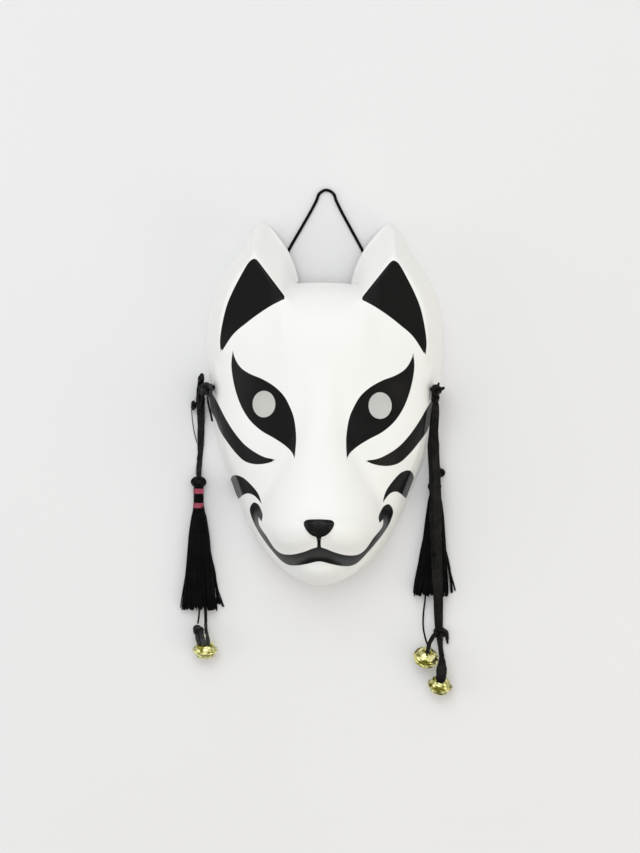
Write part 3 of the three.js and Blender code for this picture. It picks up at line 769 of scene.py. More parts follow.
# Bells: the loop stands on top and the pellet lies inside
BELL_RADIUS = 7.5
BELL_SQUASH = 0.92
BELL_RIM = 1.3
BELL_WALL = 0.8
BELL_SLOT = 1.8
BELL_CRIMPS = 14
BELL_CRIMP = 0.22
BELL_LOOP_RADIUS = 2.0
BELL_WIRE = 1.15
PELLET_RADIUS = 1.7
PELLET_PLACE = (1.0, -3.2, 0.5)
# The bells stop this far above the floor, in metres
FLOOR_GAP = 0.00005

# How knots, tassel heads, bands, ribbons and silk are wound and creased
KNOT_LOBES = 3
KNOT_SWELL = 0.42
HEAD_CORD = 1.5
HEAD_LEADS = 5
HEAD_BIGHTS = 7
BAND_TURNS = 5
RIBBON_SIDES = 12
RIBBON_CREASE = 0.12
RIBBON_CREASE_RATES = (19.0, 47.0, 93.0)
SILK_WIDTHS = (0.75, 1.05)
SILK_ENDS = (-0.9, 2.9)
STRAY_WIDTH = 0.85
STRAY_MIDDLE_Z = 2.4
LOWEST_SILK = 0.7

# How far the cutters of the holes reach: up from a height and past the front, and about the side
HOLE_SIDES = 72
EYE_CUT_FROM = 20.0
EYE_CUT_PAST = 5.0
TEMPLE_CUT = (-18.0, 12.0)
SHELL_CREASE = math.radians(40)

# The floor's half width and the camera's sensor, in millimetres
FLOOR_REACH = 4000.0
SENSOR_HEIGHT = 36.0

# Skirts: (x, y, z, width, thickness) from the neck down
LEFT_SKIRT = [
    (-86.7, -58.8, 4.9, 6.0, 6.0), (-86.4, -74.9, 4.9, 6.6, 6.4), (-86.2, -79.3, 4.8, 9.8, 7.4),
    (-86, -93.3, 4.7, 14.2, 8.6), (-85.5, -119.3, 4.8, 18.8, 9.2), (-84.9, -143.3, 4.7, 23.6, 8.8),
]
RIGHT_SKIRT = [
    (78.5, -60.1, 4.4, 5.8, 5.8), (78.7, -67.1, 4.4, 9.4, 7), (78.8, -79.1, 4.5, 12.8, 8),
    (78.2, -103.1, 4.6, 17.6, 8.7), (76.6, -131.2, 4.6, 24, 8.6),
]


# Pieces


def declare(made, node):
    """Ties a piece to the body and hides the imported part of the node that it stands for."""
    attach(made, BODY)
    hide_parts(node)
    return made


def add_strap(settings):
    """The round black elastic from temple hole to temple hole."""
    route = route_mm(STRAP_ROUTE, 0.9)
    route[:, 2] = np.maximum(route[:, 2], STRAP_FLOOR)
    skin = Skin()
    skin.add(*sweep(route, oval(STRAP_DIAMETER, sides=12)))
    knit = braid("black_round_elastic", "#020202", "#101010", 5, 1.7, 0.00025)
    strap = declare(skin.make("strap_elastic", [knit]), "head_strap")


def knot_line(center, radii):
    """A closed line wound round and through itself inside an egg of the given radii."""
    t = np.linspace(0, 2 * math.pi, 90)
    wound = (1 + KNOT_SWELL * np.cos(KNOT_LOBES * t)) / (1 + KNOT_SWELL)
    across = np.cos((KNOT_LOBES - 1) * t) * wound
    up = np.sin((KNOT_LOBES - 1) * t) * wound
    deep = np.sin(KNOT_LOBES * t)
    return np.stack([across, up, deep], axis=1) * radii + center


def add_knot(skin, center, radii, width):
    """A tight knot: a wound line over a core, filling an egg of the given radii."""
    center = np.array(center, float)
    radii = np.array(radii, float)
    inset = np.maximum(radii - width * 0.5, 0.4)
    skin.add(*sweep(knot_line(center, inset), oval(width, width * 0.8, sides=9)))
    skin.add(*ellipsoid(center, inset * 0.85, 14))


def strand(skin, points, width, thickness, seed, slot=0):
    """A creased ribbon through the points, with its own creases by its seed."""
    skin.add(*sweep(route_mm(points, 0.8), crinkled(width, thickness, seed)), slot=slot)


def widths(*pairs):
    """Width as a function of the share of the way along, from (share, width) pairs."""
    return lambda share: np.interp(share, *zip(*pairs))


def section_at(table, y):
    """X, Z, width and thickness of a skirt at a height."""
    table = np.array(table, float)
    return [np.interp(-y, -table[:, 1], table[:, k]) for k in (0, 2, 3, 4)]


def skirt_line(table, angle, spread, end_y, wave, phase):
    """One thread of a tassel's skirt, from its neck to its own ragged end."""
    top = table[0][1]
    y = np.linspace(top, end_y, 20)
    x, z, width, thick = section_at(table, y)
    share = (top - y) / (top - end_y)
    sway = wave * share**2 * np.sin(share * 5 + phase)
    across = np.cos(angle) * width / 2 * spread + sway
    up = np.sin(angle) * thick / 2 * spread
    return np.stack([x + across, y, np.maximum(z + up, LOWEST_SILK)], axis=1)


def add_skirt(name, node, table, settings, seed, strays):
    """A tassel's skirt: silk threads round a core, ragged at the end, and some that stray.

    Each row of strays says where they leave the skirt, where they end, how far they bow to one
    side and how many they are.
    """
    random = np.random.default_rng(seed)
    skin = Skin()
    end = table[-1][1]
    core = np.array([(x, y, z) for x, y, z, _, _ in table])
    known = np.linspace(0, 1, len(core))
    wanted = np.linspace(0, 0.9, 14)
    core = np.stack([np.interp(wanted, known, core[:, k]) for k in range(3)], axis=1)

    def core_section(share):
        y = core[0, 1] + (core[-1, 1] - core[0, 1]) * share
        _, _, width, thick = section_at(table, y)
        return oval(width * 0.8, thick * 0.7, sides=18)(share)

    skin.add(*sweep(core, core_section))
    count = settings.thread_count
    for i in range(count):
        angle = 2 * math.pi * i / count + random.normal(0, 0.05)
        spread = 1.0 if i % 3 else random.uniform(0.55, 0.95)
        end_y = end - random.uniform(*SILK_ENDS)
        wave = random.normal(0, 0.9)
        line = skirt_line(table, angle, spread * 0.96, end_y, wave, random.uniform(0, 6))
        skin.add(*sweep(line, oval(random.uniform(*SILK_WIDTHS), sides=5)))
    for start_y, end_point, bow, count in strays:
        for _ in range(count):
            x, z, width, _ = section_at(table, start_y)
            wander = random.normal(0, 0.5, 4)
            start = (x + math.copysign(width * 0.4, end_point[0] - x), start_y + wander[0], z)
            middle_x = (start[0] + end_point[0]) / 2 + bow + wander[1]
            middle = (middle_x, (start[1] + end_point[1]) / 2, STRAY_MIDDLE_Z)
            tip = (end_point[0] + wander[2], end_point[1] + wander[3], LOWEST_SILK)
            skin.add(*sweep(route_mm([start, middle, tip], 2.0), oval(STRAY_WIDTH, sides=5)))
    silk = thread("black_silk_thread_" + name, "#010101", "#0A0A09", 2.0, 0.5, 0.06)
    return declare(skin.make(name, [silk], crease=80), node)


def add_head(name, node, center, radii, silk):
    """A tassel's head: a ball of cord woven over and under itself."""
    skin = Skin()
    center = np.array(center, float)
    inner = np.array(radii) - HEAD_CORD * 0.5
    skin.add(*ellipsoid(center, inner * 0.93, 24))
    t = np.linspace(0, 2 * math.pi * HEAD_LEADS, 420)
    high = np.sin(HEAD_BIGHTS / HEAD_LEADS * t) * 1.15
    weave = 1 + 0.05 * np.sin(2 * HEAD_BIGHTS / HEAD_LEADS * t + math.pi / 2)
    around = np.cos(high) * weave
    line = np.stack([np.cos(t) * around, np.sin(high) * weave, np.sin(t) * around], axis=1)
    skin.add(*sweep(line * inner + center, oval(HEAD_CORD, HEAD_CORD * 0.8, sides=8)))
    return declare(skin.make(name, [silk]), node)


def add_band(name, node, center, radius, length, silk):
    """Turns of bright thread wound side by side round the tassel's neck."""
    skin = Skin()
    gauge = length / BAND_TURNS
    angle = np.linspace(0, 2 * math.pi, 49)
    reach = radius - gauge * 0.5
    across = center[0] + np.cos(angle) * reach
    up = center[2] + np.sin(angle) * reach
    for i in range(BAND_TURNS):
        y = center[1] - length / 2 + gauge * (i + 0.5)
        line = np.stack([across, np.full(len(angle), y), up], axis=1)
        skin.add(*sweep(line, oval(gauge * 1.06, sides=8)))
    return declare(skin.make(name, [silk]), node)


def bell_profile(radius, flange, steps):
    """Half outline of a bell, bottom to top, with its two halves pressed together at a rim."""
    lower = np.linspace(-math.pi / 2, -0.1, steps)
    upper = -lower[::-1]
    ridge = 0.035 * np.exp(-(((upper - 0.66) / 0.08) ** 2))
    groove = 0.03 * np.exp(-(((upper - 0.46) / 0.08) ** 2))
    reach = radius * (1 + ridge - groove) if flange else np.full(steps, radius)
    points = [(math.cos(a) * r, math.sin(a) * r * BELL_SQUASH) for a, r in zip(lower, reach[::-1])]
    if flange:
        edge = radius + flange
        points += [(radius + 0.25, -0.5), (edge - 0.1, -0.55), (edge, -0.35)]
        points += [(edge, 0.35), (edge - 0.1, 0.55), (radius + 0.25, 0.5)]
    points += [(math.cos(a) * r, math.sin(a) * r * BELL_SQUASH) for a, r in zip(upper, reach)]
    points[0] = (0, points[0][1])
    points[-1] = (0, points[-1][1])
    return points


def add_bell(name, center, lean, turn, metal):
    """A jingle bell: hollow, a crimped rim, a cross slot below and a wire loop on top."""
    skin = Skin()
    points, faces = lathe(bell_profile(BELL_RADIUS, BELL_RIM, 32), 64)
    radius = np.hypot(points[:, 0], points[:, 2])
    angle = np.arctan2(points[:, 2], points[:, 0])
    on_rim = ease(BELL_RADIUS + 0.1, BELL_RADIUS + BELL_RIM, radius)
    points[:, 1] += on_rim * BELL_CRIMP * np.sin(angle * BELL_CRIMPS)
    skin.add(points, faces)
    bell = skin.make(name, [metal], crease=40)
    hollow = Skin()
    hollow.add(*lathe(bell_profile(BELL_RADIUS - BELL_WALL, 0, 12), 40))
    cut(bell, hollow.make("bell_hollow", []))
    long = BELL_RADIUS * 1.5
    for across, along in ((long, BELL_SLOT), (BELL_SLOT, long)):
        slot = Skin()
        corners = [
            (x * across / 2, y, z * along / 2)
            for y in (-long, -BELL_RADIUS * 0.45)
            for x, z in ((-1, -1), (1, -1), (1, 1), (-1, 1))
        ]
        slot.add(corners, [
            (0, 1, 2, 3), (7, 6, 5, 4), (0, 4, 5, 1), (1, 5, 6, 2), (2, 6, 7, 3), (3, 7, 4, 0),
        ])
        cut(bell, slot.make("bell_slot", []))
    loop = Skin()
    ring = np.linspace(0, 2 * math.pi, 33)
    top = BELL_RADIUS * BELL_SQUASH + 1.2
    across = np.cos(ring) * BELL_LOOP_RADIUS
    line = np.stack([across, top + np.sin(ring) * BELL_LOOP_RADIUS, ring * 0], axis=1)
    loop.add(*sweep(line, oval(BELL_WIRE, sides=10)))
    wire = loop.make("bell_loop", [metal])
    pellet = Skin()
    pellet.add(*ellipsoid(np.array(PELLET_PLACE), np.full(3, PELLET_RADIUS), 16))
    ball = pellet.make("bell_pellet", [metal])
    joined(bell, [wire, ball])
    mesh = bell.data
    mesh.transform(bell_turn(lean, turn))
    lowest = min(vertex.co.z for vertex in mesh.vertices)
    mesh.transform(Matrix.Translation((center[0] * MM, center[1] * MM, FLOOR_GAP - lowest)))
    return declare(bell, name.replace("brass_", ""))


def bell_turn(lean, turn):
    return Matrix.Rotation(turn, 4, "Z") @ Matrix.Rotation(lean, 4, "X")


def joined(target, others):
    """Makes the other meshes part of the target."""
    work = bmesh.new()
    for part in (target, *others):
        work.from_mesh(part.data)
    work.to_mesh(target.data)
    work.free()
    for part in others:
        bpy.data.objects.remove(part)


def crinkled(width, thickness, seed):
    """Section of a soft ribbon whose width and edges wander a little along it."""
    random = np.random.default_rng(seed)
    phases = random.uniform(0, 6.28, (RIBBON_SIDES, 3))
    shape = oval(1.0, 1.0, RIBBON_SIDES)(0)

    def section(share):
        w = width(share) if callable(width) else width
        wobble = sum(
            np.sin(share * rate + phases[:, k]) * RIBBON_CREASE / (k + 1)
            for k, rate in enumerate(RIBBON_CREASE_RATES)
        )
        lift = wobble * thickness * 1.6
        offsets = shape * (w, thickness) * (1 + wobble[:, None] * (0.35, 1.0))
        offsets[:, 1] += lift
        return offsets

    return section


def add_left_side(settings):
    """The left ribbon, its knots, the banded tassel, the two cords below it and their bell."""
    satin = thread("black_satin_ribbon", "#030303", "#1B1D1D", 5.0, 0.4, 0.14)
    loose = thread("grey_black_satin_cord", "#060606", "#3C3E3E", 5.0, 0.36, 0.2)
    silk = thread("black_silk_ball", "#020203", "#151617", 3.0, 0.36, 0.14)
    # The pink's dark end is a painted shade of the band's edges and its light end a painted highlight,
    # mixed in random streaks.
    pink_shade_and_highlight = thread("pink_silk_band", "#640B25", "#CC4A6C", 3.0, 0.22, 0.8)
    metal = brass()

    route = route_mm(LEFT_RIBBON_ROUTE, 0.8)
    skin = Skin()
    width = widths((0, 5.8), (0.3, 5.2), (0.6, 4.0), (1, 3.6))
    skin.add(*sweep(route, crinkled(width, 1.6, 11), twist=0.25))
    ribbon = declare(
        skin.make("left_ribbon", [satin], crease=70), "left_hanger_ribbon"
    )

    skin = Skin()
    strand(
        skin, [(-84.8, 19.6, 13), (-85.6, 15, 12.4), (-85.9, 8, 11), (-86, 1, 9), (-85.8, -6, 7)],
        widths((0, 2.2), (0.1, 4.4), (0.4, 5.2), (0.6, 6.2), (0.9, 6.2), (1, 4.6)), 3.6, 3,
    )
    add_knot(skin, (-85.9, 1.0, 8.9), (3.3, 7.0, 3.4), 2.8)
    add_knot(skin, (-84.1, 9, 13.6), (3.2, 4.4, 3.6), 2.6)
    add_knot(skin, (-78.4, 9.6, 18.4), (2.6, 3.3, 3.5), 2.2)
    add_knot(skin, (-80.6, 8.2, 21.6), (3.1, 4.2, 4.4), 2.8)
    bow = [
        (-82.9, 4.6, 19.5), (-83.2, 8.8, 22.4), (-81.6, 12, 24.8), (-79, 11.6, 26.4),
        (-77.8, 8, 26.4), (-78.9, 4.8, 24.8), (-80.4, 3.6, 22.4),
    ]
    strand(skin, bow, 4.0, 1.8, 4, slot=1)
    tail = [
        (-80.7, 5, 19.5), (-80.3, 0.6, 17.6), (-79.4, -4.4, 14.8), (-78.3, -9.4, 12),
        (-77.4, -13.6, 9.8),
    ]
    strand(skin, tail, 1.5, 1.0, 5)
    hanger = declare(
        skin.make("left_temple_knot", [satin, loose], crease=70), "left_hanger_knot"
    )

    skin = Skin()
    add_knot(skin, (-91, -2.8, 2.8), (2.2, 3.7, 2.6), 1.8)
    loose_end = [(-92.4, -5.6, 2.2), (-91.9, -12, 1.0), (-90.5, -21, 0.8), (-88.4, -28.6, 0.8)]
    skin.add(*sweep(route_mm(loose_end, 1.0), oval(0.6, sides=6)))
    small = declare(skin.make("left_small_knot", [satin]), "left_side_knot")

    center = (-86.7, -56.2, 5.0)
    head = add_head("left_tassel_ball", "left_tassel_head", center, (5.4, 4.3, 4.8), silk)
    for level, y in (("upper", -62.7), ("lower", -72.7)):
        place = (-86.6, y, 4.9)
        node = "left_tassel_band_" + level
        add_band("left_pink_band_" + level, node, place, 3.8, 3.6, pink_shade_and_highlight)
    strays = [
        (-92, (-74, -140.6), 1.2, 2), (-100, (-72.6, -141.2), 1.0, 3),
        (-108, (-70.8, -141.6), 0.8, 6), (-114, (-68.2, -142.8), -0.6, 2),
    ]
    skirt = add_skirt("left_skirt", "left_tassel_skirt", LEFT_SKIRT, settings, 21, strays)

    skin = Skin()
    add_knot(skin, (-85.6, -159.8, 6.8), (4.3, 4.1, 3.8), 2.6)
    strands = [
        ([(-80.3, -154.8, 7), (-79.7, -160, 11.4), (-78.2, -165.6, 14), (-77.6, -169.6, 14.8)], 2.3, 1.8),
        ([(-86, -162, 8.4), (-85.4, -166, 11), (-83.7, -169.6, 14.4)], 3.4, 1.6),
        ([(-83.6, -160, 9.5), (-82.2, -165, 13.4), (-81.1, -169.8, 15.6)], 3.3, 1.6),
        ([(-84, -163, 9.6), (-82, -167.4, 14.4), (-79.4, -168.4, 15), (-78.9, -163.6, 12.6)], 2.0, 1.4),
    ]
    for seed, (points, width, thickness) in enumerate(strands, 6):
        strand(skin, points, width, thickness, seed)
    knot = declare(skin.make("left_cord_knot", [loose]), "left_bell_knot")
    bell = add_bell("brass_left_bell", (-80.4, -173.3), 0.35, 0.0, metal)
    cord = add_hanging_cord("left_cord", "left_bell_cord", LEFT_CORD_ROUTE, CORD_DIAMETER)
    string = add_hanging_cord("left_thread", "left_bell_thread", LEFT_THREAD_ROUTE, THREAD_DIAMETER)


def add_hanging_cord(name, node, points, diameter):
    """A thin twisted cord, lying loose below a tassel."""
    skin = Skin()
    skin.add(*sweep(route_mm(points, 0.7), oval(diameter, sides=10)))
    twisted = braid("black_twisted_" + name, "#020202", "#121110", 2, 2.4, 0.0003)
    return declare(skin.make(name, [twisted]), node)


def add_right_side(settings):
    """The right ribbon over its tassel, its knots, the thin cord and the two bells."""
    satin = thread("black_satin_ribbon_warm", "#050504", "#1F1C19", 5.0, 0.4, 0.1)
    silk = thread("black_silk_ball_warm", "#020202", "#111010", 3.0, 0.4, 0.1)
    metal = brass()

    route = route_mm(RIGHT_RIBBON_ROUTE, 0.8)
    skin = Skin()
    width = widths(
        (0, 3.6), (0.02, 5.2), (0.05, 6.0), (0.12, 6.6), (0.17, 8.4), (0.45, 8.4), (0.7, 7.0),
        (0.8, 6.2), (0.86, 5.4), (0.91, 3.6), (0.95, 3.6), (1, 6.8),
    )
    skin.add(*sweep(route, crinkled(width, 1.3, 31)))
    fold = route[int(len(route) * 0.15) : int(len(route) * 0.62)] + np.array([-2.9, 0, 0.9])
    fold_width = widths((0, 1.0), (0.06, 2.6), (1, 2.4))
    skin.add(*sweep(fold, crinkled(fold_width, 1.2, 32)), slot=1)
    ribbon = declare(
        skin.make("right_satin_ribbon", [satin, silk], crease=70), "right_ribbon"
    )

    skin = Skin()
    add_knot(skin, (78.9, 10.2, 25.6), (4.2, 4.2, 3.8), 2.8)
    add_knot(skin, (78, 4.6, 22.8), (3.3, 4.4, 3.2), 2.6)
    add_knot(skin, (78.2, 10, 18.2), (2.5, 3.5, 3.5), 2.2)
    ends = [
        ([(79, 10.6, 27), (79.9, 13, 28), (80.6, 15.2, 27.6)], 2.6, 1.4),
        ([(80, 9.6, 27), (82.4, 10.8, 27.4), (84.4, 11.8, 26.6)], 3.0, 1.9),
        ([(78, 10, 28), (75.8, 11, 28.4), (74.4, 10.2, 27.8)], 3.0, 2.0),
    ]
    for seed, (points, near, far) in enumerate(ends, 33):
        strand(skin, points, widths((0, near), (1, far)), 1.2, seed)
    hanger = declare(
        skin.make("right_temple_knot", [satin], crease=70), "right_hanger_knot"
    )

    skin = Skin()
    add_knot(skin, (81, -47.5, 4), (4.8, 4.6, 3.7), 2.4)
    small = declare(skin.make("right_small_knot", [satin]), "right_side_knot")

    center = (78.3, -57.1, 4.5)
    head = add_head("right_tassel_ball", "right_tassel_head", center, (4.6, 4.4, 4.2), silk)
    strays = [
        (-82, (66.2, -127.6), -0.6, 4), (-88, (64.9, -128.8), -0.2, 3),
        (-96, (91.2, -131), 0.9, 7), (-100, (93.6, -130.2), -0.4, 2),
    ]
    skirt = add_skirt("right_skirt", "right_tassel_skirt", RIGHT_SKIRT, settings, 22, strays)

    skin = Skin()
    add_knot(skin, (83.2, -159.4, 4.2), (5.2, 4.4, 3.9), 3.0)
    tail = [(84.6, -157, 4.8), (87.6, -158.8, 4.4), (88.4, -162.4, 3.4), (88.9, -167, 2)]
    strand(skin, tail, widths((0, 3.6), (0.5, 3.0), (1, 1.2)), 1.1, 36)
    to_upper = [
        (81.2, -159.6, 5.6), (78.6, -162.2, 8.2), (76.5, -166, 12.6), (75.4, -170, 16.2),
        (75.1, -173.6, 16.8),
    ]
    strand(skin, to_upper, widths((0, 3.8), (0.4, 3.0), (1, 3.2)), 1.3, 37)
    to_lower = [
        (84.9, -173.6, 6.2), (85.1, -179, 11.2), (85, -184, 14.6), (84.7, -189, 16.4),
        (84.3, -193.4, 15.9),
    ]
    strand(
        skin, to_lower, widths((0, 3.0), (0.25, 4.4), (0.6, 7.6), (0.85, 7.4), (1, 5.6)), 1.3, 38
    )
    knot = declare(skin.make("right_bell_ribbon_knot", [satin]), "right_ribbon_knot")
    upper = add_bell("brass_right_bell_upper", (73.8, -176.7), 0.9, -0.3, metal)
    lower = add_bell("brass_right_bell_lower", (83.9, -195.9), 0.4, -0.2, metal)
    cord = add_hanging_cord("right_cord", "right_bell_cord", RIGHT_CORD_ROUTE, THREAD_DIAMETER)


def drill(shell, name, ends):
    """Cuts a hole through the shell from one outline to another."""
    count = len(ends[0])
    walls = [(i, (i + 1) % count, count + (i + 1) % count, count + i) for i in range(count)]
    caps = [tuple(reversed(range(count))), tuple(range(count, 2 * count))]
    cutter = Skin()
    cutter.add(ends[0] + ends[1], walls + caps)
    cut(shell, cutter.make(name, shell.data.materials[:]))


def shell_normals(ring, rings):
    """Directions out of the outer skin at its points, even across the middle line."""
    normal = np.zeros_like(ring)
    facing = np.cross(ring[1:, 1:] - ring[:-1, :-1], ring[:-1, 1:] - ring[1:, :-1])
    facing *= np.where(facing[:, :, 2:] < 0, -1, 1)
    for i in (0, 1):
        for k in (0, 1):
            normal[i : len(ring) - 1 + i, k : rings + k] += facing
    seam = normal[0] + normal[-1]
    seam[:, 0] = 0
    normal[0] = normal[-1] = seam
    normal[len(ring) // 2, :, 0] = 0
    middle = normal[::-1, 0] * (-1, 1, 1) + normal[:, 0]
    middle[:, 0] = 0
    normal[:, 0] = middle
    normal[:, -1, 2] = 0
    return unit(normal)


def add_shell(settings):
    """The mask itself: outer and inner skins, rim, eye and temple holes, and its paint."""
    rays, rings = settings.shell_rays, settings.shell_rings
    outline = half_outline(
        round(rays * 0.08), round(rays * 0.19), round(rays * 0.26), round(rays * 0.47)
    )
    outer = ray_grid(outline, rings)
    half = outer.copy()
    half[:, :, 0] *= -1
    ring = np.concatenate([half[::-1], outer[1:]])
    inner = ring - shell_normals(ring, rings) * WALL
    inner[:, -1, 2] = ring[:, -1, 2]

    skin = Skin()
    rows = len(ring)
    index = np.arange(rows * (rings + 1)).reshape(rows, rings + 1)
    top = [
        (index[i, k], index[i + 1, k], index[i + 1, k + 1], index[i, k + 1])
        for i in range(rows - 1) for k in range(rings)
    ]
    skin.add(ring.reshape(-1, 3), top)
    shift = rows * (rings + 1)
    skin.add(inner.reshape(-1, 3), [tuple(reversed(face)) for face in top], slot=1)
    rim = [
        (index[i, rings], index[i + 1, rings], index[i + 1, rings] + shift, index[i, rings] + shift)
        for i in range(rows - 1)
    ]
    skin.faces.extend(rim)
    skin.corners.extend([[(0.0, 0.0)] * 4] * len(rim))
    skin.slots.extend([1] * len(rim))
    shell = skin.make("fox_mask", [painted_plastic(settings), bare_plastic()])
    work = bmesh.new()
    work.from_mesh(shell.data)
    bmesh.ops.remove_doubles(work, verts=work.verts, dist=2e-6)
    bmesh.ops.dissolve_degenerate(work, edges=work.edges, dist=1e-6)
    bmesh.ops.recalc_face_normals(work, faces=work.faces)
    work.to_mesh(shell.data)
    work.free()

    turns = [(math.cos(a), math.sin(a)) for a in np.arange(HOLE_SIDES) / HOLE_SIDES * 2 * math.pi]
    for side in (-1, 1):
        drill(shell, "eye_cutter", [
            [
                (side * EYE_PLACE[0] + c * EYE_HOLE[0] / 2, EYE_PLACE[1] + s * EYE_HOLE[1] / 2, z)
                for c, s in turns
            ]
            for z in (EYE_CUT_FROM, MASK_DEPTH + EYE_CUT_PAST)
        ])
        drill(shell, "temple_cutter", [
            [
                (side * x, TEMPLE_PLACE[0] + c * TEMPLE_HOLE / 2 * side,
                 TEMPLE_PLACE[1] + s * TEMPLE_HOLE / 2)
                for c, s in turns
            ]
            for x in (MASK_WIDTH / 2 + TEMPLE_CUT[0], MASK_WIDTH / 2 + TEMPLE_CUT[1])
        ])
    mesh = shell.data
    place = np.zeros(len(mesh.vertices) * 3)
    mesh.vertices.foreach_get("co", place)
    place = place.reshape(-1, 3) / MM
    paint = mesh.attributes.new("paint", "FLOAT", "POINT")
    paint.data.foreach_set("value", paint_distance(place[:, 0], place[:, 1], place[:, 2]))
    mesh.shade_smooth()
    mesh.set_sharp_from_angle(angle=SHELL_CREASE)
    declare(shell, "mask")


def add_camera(settings):
    """A long lens that looks straight down on the mask, a little from its left."""
    data = bpy.data.cameras.new("camera")
    data.lens = settings.lens
    data.sensor_fit = "VERTICAL"
    data.sensor_height = SENSOR_HEIGHT
    data.clip_end = 50
    made = bpy.data.objects.new("camera", data)
    yaw = math.radians(settings.camera_yaw)
    aim = Vector(metres(settings.camera_aim))
    made.location = aim + Vector((math.sin(yaw), 0, math.cos(yaw))) * settings.camera_distance
    roll = math.radians(settings.camera_roll)
    made.rotation_euler = (Matrix.Rotation(yaw, 3, "Y") @ Matrix.Rotation(roll, 3, "Z")).to_euler()
    bpy.context.scene.collection.objects.link(made)
    bpy.context.scene.camera = made


def add_lamp(name, place, aim, size, power, tint):
    """A square soft lamp at a place, turned towards another."""
    data = bpy.data.lights.new(name, "AREA")
    data.shape = "SQUARE"
    data.size = size
    data.energy = power
    data.color = tint
    made = bpy.data.objects.new(name, data)
    made.location = place
    made.rotation_euler = (Vector(aim) - Vector(place)).to_track_quat("-Z", "Y").to_euler()
    bpy.context.scene.collection.objects.link(made)
    return made


def add_stage(settings):
    """The pale floor, the soft lamps and the even light of a pale room."""
    skin = Skin()
    corners = [(x * FLOOR_REACH, y * FLOOR_REACH, 0) for x, y in ((-1, -1), (1, -1), (1, 1), (-1, 1))]
    skin.add(corners, [(0, 1, 2, 3)])
    skin.make("floor", [floor_paper()])
    lamps = (
        ("key_lamp", (-0.3, 1.1, 2.0), (0, 0, 0.04), 1.6, settings.key_power, (0.87, 0.96, 1.0)),
        ("top_lamp", (0.2, 0.3, 2.6), (0, 0, 0.04), 2.2, settings.top_power, (1, 1, 1)),
        ("warm_lamp", (1.4, -0.9, 0.75), (0.04, 0, 0.03), 1.0, settings.warm_power, (1.0, 0.9, 0.68)),
        ("left_lamp", (-1.5, -0.2, 0.6), (-0.04, 0, 0.03), 1.0, settings.left_power, (0.96, 0.99, 1.0)),
    )
    for lamp in lamps:
        add_lamp(*lamp)
    for side, name in ((-1, "eye_lamp_left"), (1, "eye_lamp_right")):
        x, y = side * EYE_PLACE[0] * MM, EYE_PLACE[1] * MM
        glow = add_lamp(name, (x, y, 0.03), (x, y, 0), 0.03, settings.eye_power, (0.98, 1, 0.95))
        glow.visible_camera = False
    world = bpy.data.worlds.new("pale_room")
    world.use_nodes = True
    tree = world.node_tree
    back = tree.nodes["Background"]
    back.inputs["Color"].default_value = linear("#F3F2F0")
    ways = {0: add_node(tree, "TexCoord").outputs["Generated"], 1: settings.room_bright_side}
    towards = add_node(tree, "VectorMath", ways, operation="DOT_PRODUCT").outputs["Value"]
    light = settings.room_light
    strength = remap(tree, towards, from_min=-0.5, from_max=0.05, to_min=light * 0.3, to_max=light)
    tree.links.new(strength, back.inputs["Strength"])
    bpy.context.scene.world = world
    bpy.context.scene.view_settings.view_transform = "Standard"


# Settings, operators and panel


class KitsuneSettings(bpy.types.PropertyGroup):
    """Sizes and looks of the mask, its tassels and its stage."""

    shell_rays: IntProperty(
        name="Shell rays", description="Rays in half of the shell", default=230, min=40
    )
    shell_rings: IntProperty(
        name="Shell rings", description="Points along a ray", default=90, min=20
    )
    thread_count: IntProperty(
        name="Skirt threads", description="Threads in a tassel", default=190, min=20
    )
    plastic_roughness: FloatProperty(
        name="Plastic roughness", description="Roughness of the white plastic", default=0.34
    )
    paint_roughness: FloatProperty(
        name="Paint roughness", description="Roughness of the black paint", default=0.3
    )
    lens: FloatProperty(name="Lens", description="Focal length in millimetres", default=240.0)
    camera_distance: FloatProperty(
        name="Distance", description="From the mask", default=3.98, unit="LENGTH"
    )
    camera_yaw: FloatProperty(
        name="Yaw", description="Degrees that the camera stands to the right", default=1.5
    )
    camera_roll: FloatProperty(
        name="Roll", description="Degrees that the camera is rolled", default=0.75
    )
    camera_aim: FloatVectorProperty(
        name="Aim", description="Point the camera looks at, in millimetres", default=(-2.4, -16.3, 0.0)
    )
    key_power: FloatProperty(name="Key", description="Watts of the upper left lamp", default=13.0)
    top_power: FloatProperty(name="Top", description="Watts of the lamp overhead", default=8.0)
    warm_power: FloatProperty(name="Warm", description="Watts of the lamp on the right", default=5.0)
    left_power: FloatProperty(name="Left", description="Watts of the lamp on the left", default=3.0)
    eye_power: FloatProperty(name="Eyes", description="Watts under each eye hole", default=0.0068)
    room_bright_side: FloatVectorProperty(
        name="Bright side", description="Way to the room's brightest part", default=(0.04, 0.6, 0.8)
    )
    room_light: FloatProperty(name="Room", description="Strength of the even light", default=0.88)


class PieceOperator:
    """What the operators share: each makes its pieces from the scene's settings"""

    def execute(self, context):
        self.make(context.scene.kitsune)
        return {"FINISHED"}


class KITSUNE_OT_camera(PieceOperator, bpy.types.Operator):
    """Adds the camera above the mask"""

    bl_idname = "kitsune.camera"
    bl_label = "Camera"
    make = staticmethod(add_camera)


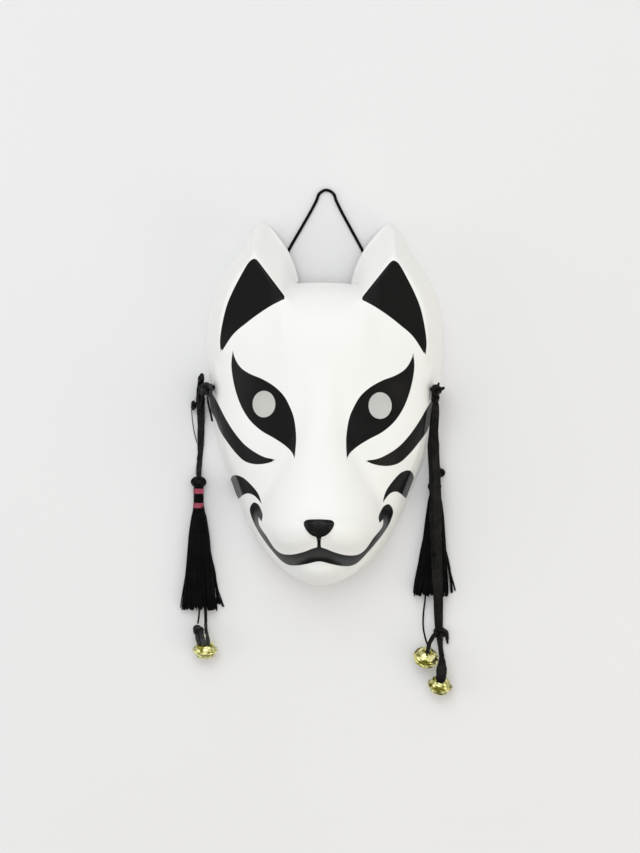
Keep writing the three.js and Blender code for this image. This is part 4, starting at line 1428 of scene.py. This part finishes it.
class KITSUNE_OT_strap(PieceOperator, bpy.types.Operator):
    """Adds the round elastic strap"""

    bl_idname = "kitsune.strap"
    bl_label = "Strap"
    make = staticmethod(add_strap)


class KITSUNE_OT_left_side(PieceOperator, bpy.types.Operator):
    """Adds the left ribbon, tassel, cords and bell"""

    bl_idname = "kitsune.left_side"
    bl_label = "Left side"
    make = staticmethod(add_left_side)


class KITSUNE_OT_right_side(PieceOperator, bpy.types.Operator):
    """Adds the right ribbon, tassel, cord and bells"""

    bl_idname = "kitsune.right_side"
    bl_label = "Right side"
    make = staticmethod(add_right_side)


class KITSUNE_OT_shell(PieceOperator, bpy.types.Operator):
    """Adds the painted shell"""

    bl_idname = "kitsune.shell"
    bl_label = "Shell"
    make = staticmethod(add_shell)


class KITSUNE_OT_stage(PieceOperator, bpy.types.Operator):
    """Adds the floor, the lamps and the room light"""

    bl_idname = "kitsune.stage"
    bl_label = "Stage"
    make = staticmethod(add_stage)


OPERATORS = (
    KITSUNE_OT_camera, KITSUNE_OT_strap, KITSUNE_OT_left_side, KITSUNE_OT_right_side,
    KITSUNE_OT_shell, KITSUNE_OT_stage,
)


class KITSUNE_PT_panel(bpy.types.Panel):
    """Buttons for the mask's pieces"""

    bl_idname = "KITSUNE_PT_panel"
    bl_label = "Kitsune mask"
    bl_space_type = "VIEW_3D"
    bl_region_type = "UI"
    bl_category = "Kitsune"

    def draw(self, context):
        for name in KitsuneSettings.__annotations__:
            self.layout.prop(context.scene.kitsune, name)
        for operator in OPERATORS:
            self.layout.operator(operator.bl_idname)


CLASSES = (KitsuneSettings, *OPERATORS, KITSUNE_PT_panel)


def register():
    for cls in CLASSES:
        bpy.utils.register_class(cls)
    bpy.types.Scene.kitsune = PointerProperty(type=KitsuneSettings)


def unregister():
    del bpy.types.Scene.kitsune
    for cls in reversed(CLASSES):
        bpy.utils.unregister_class(cls)


def main():
    register()
    bpy.ops.kitsune.camera()
    bpy.ops.kitsune.strap()
    bpy.ops.kitsune.left_side()
    bpy.ops.kitsune.right_side()
    bpy.ops.kitsune.shell()
    bpy.ops.kitsune.stage()


if __name__ == "__main__":
    main()
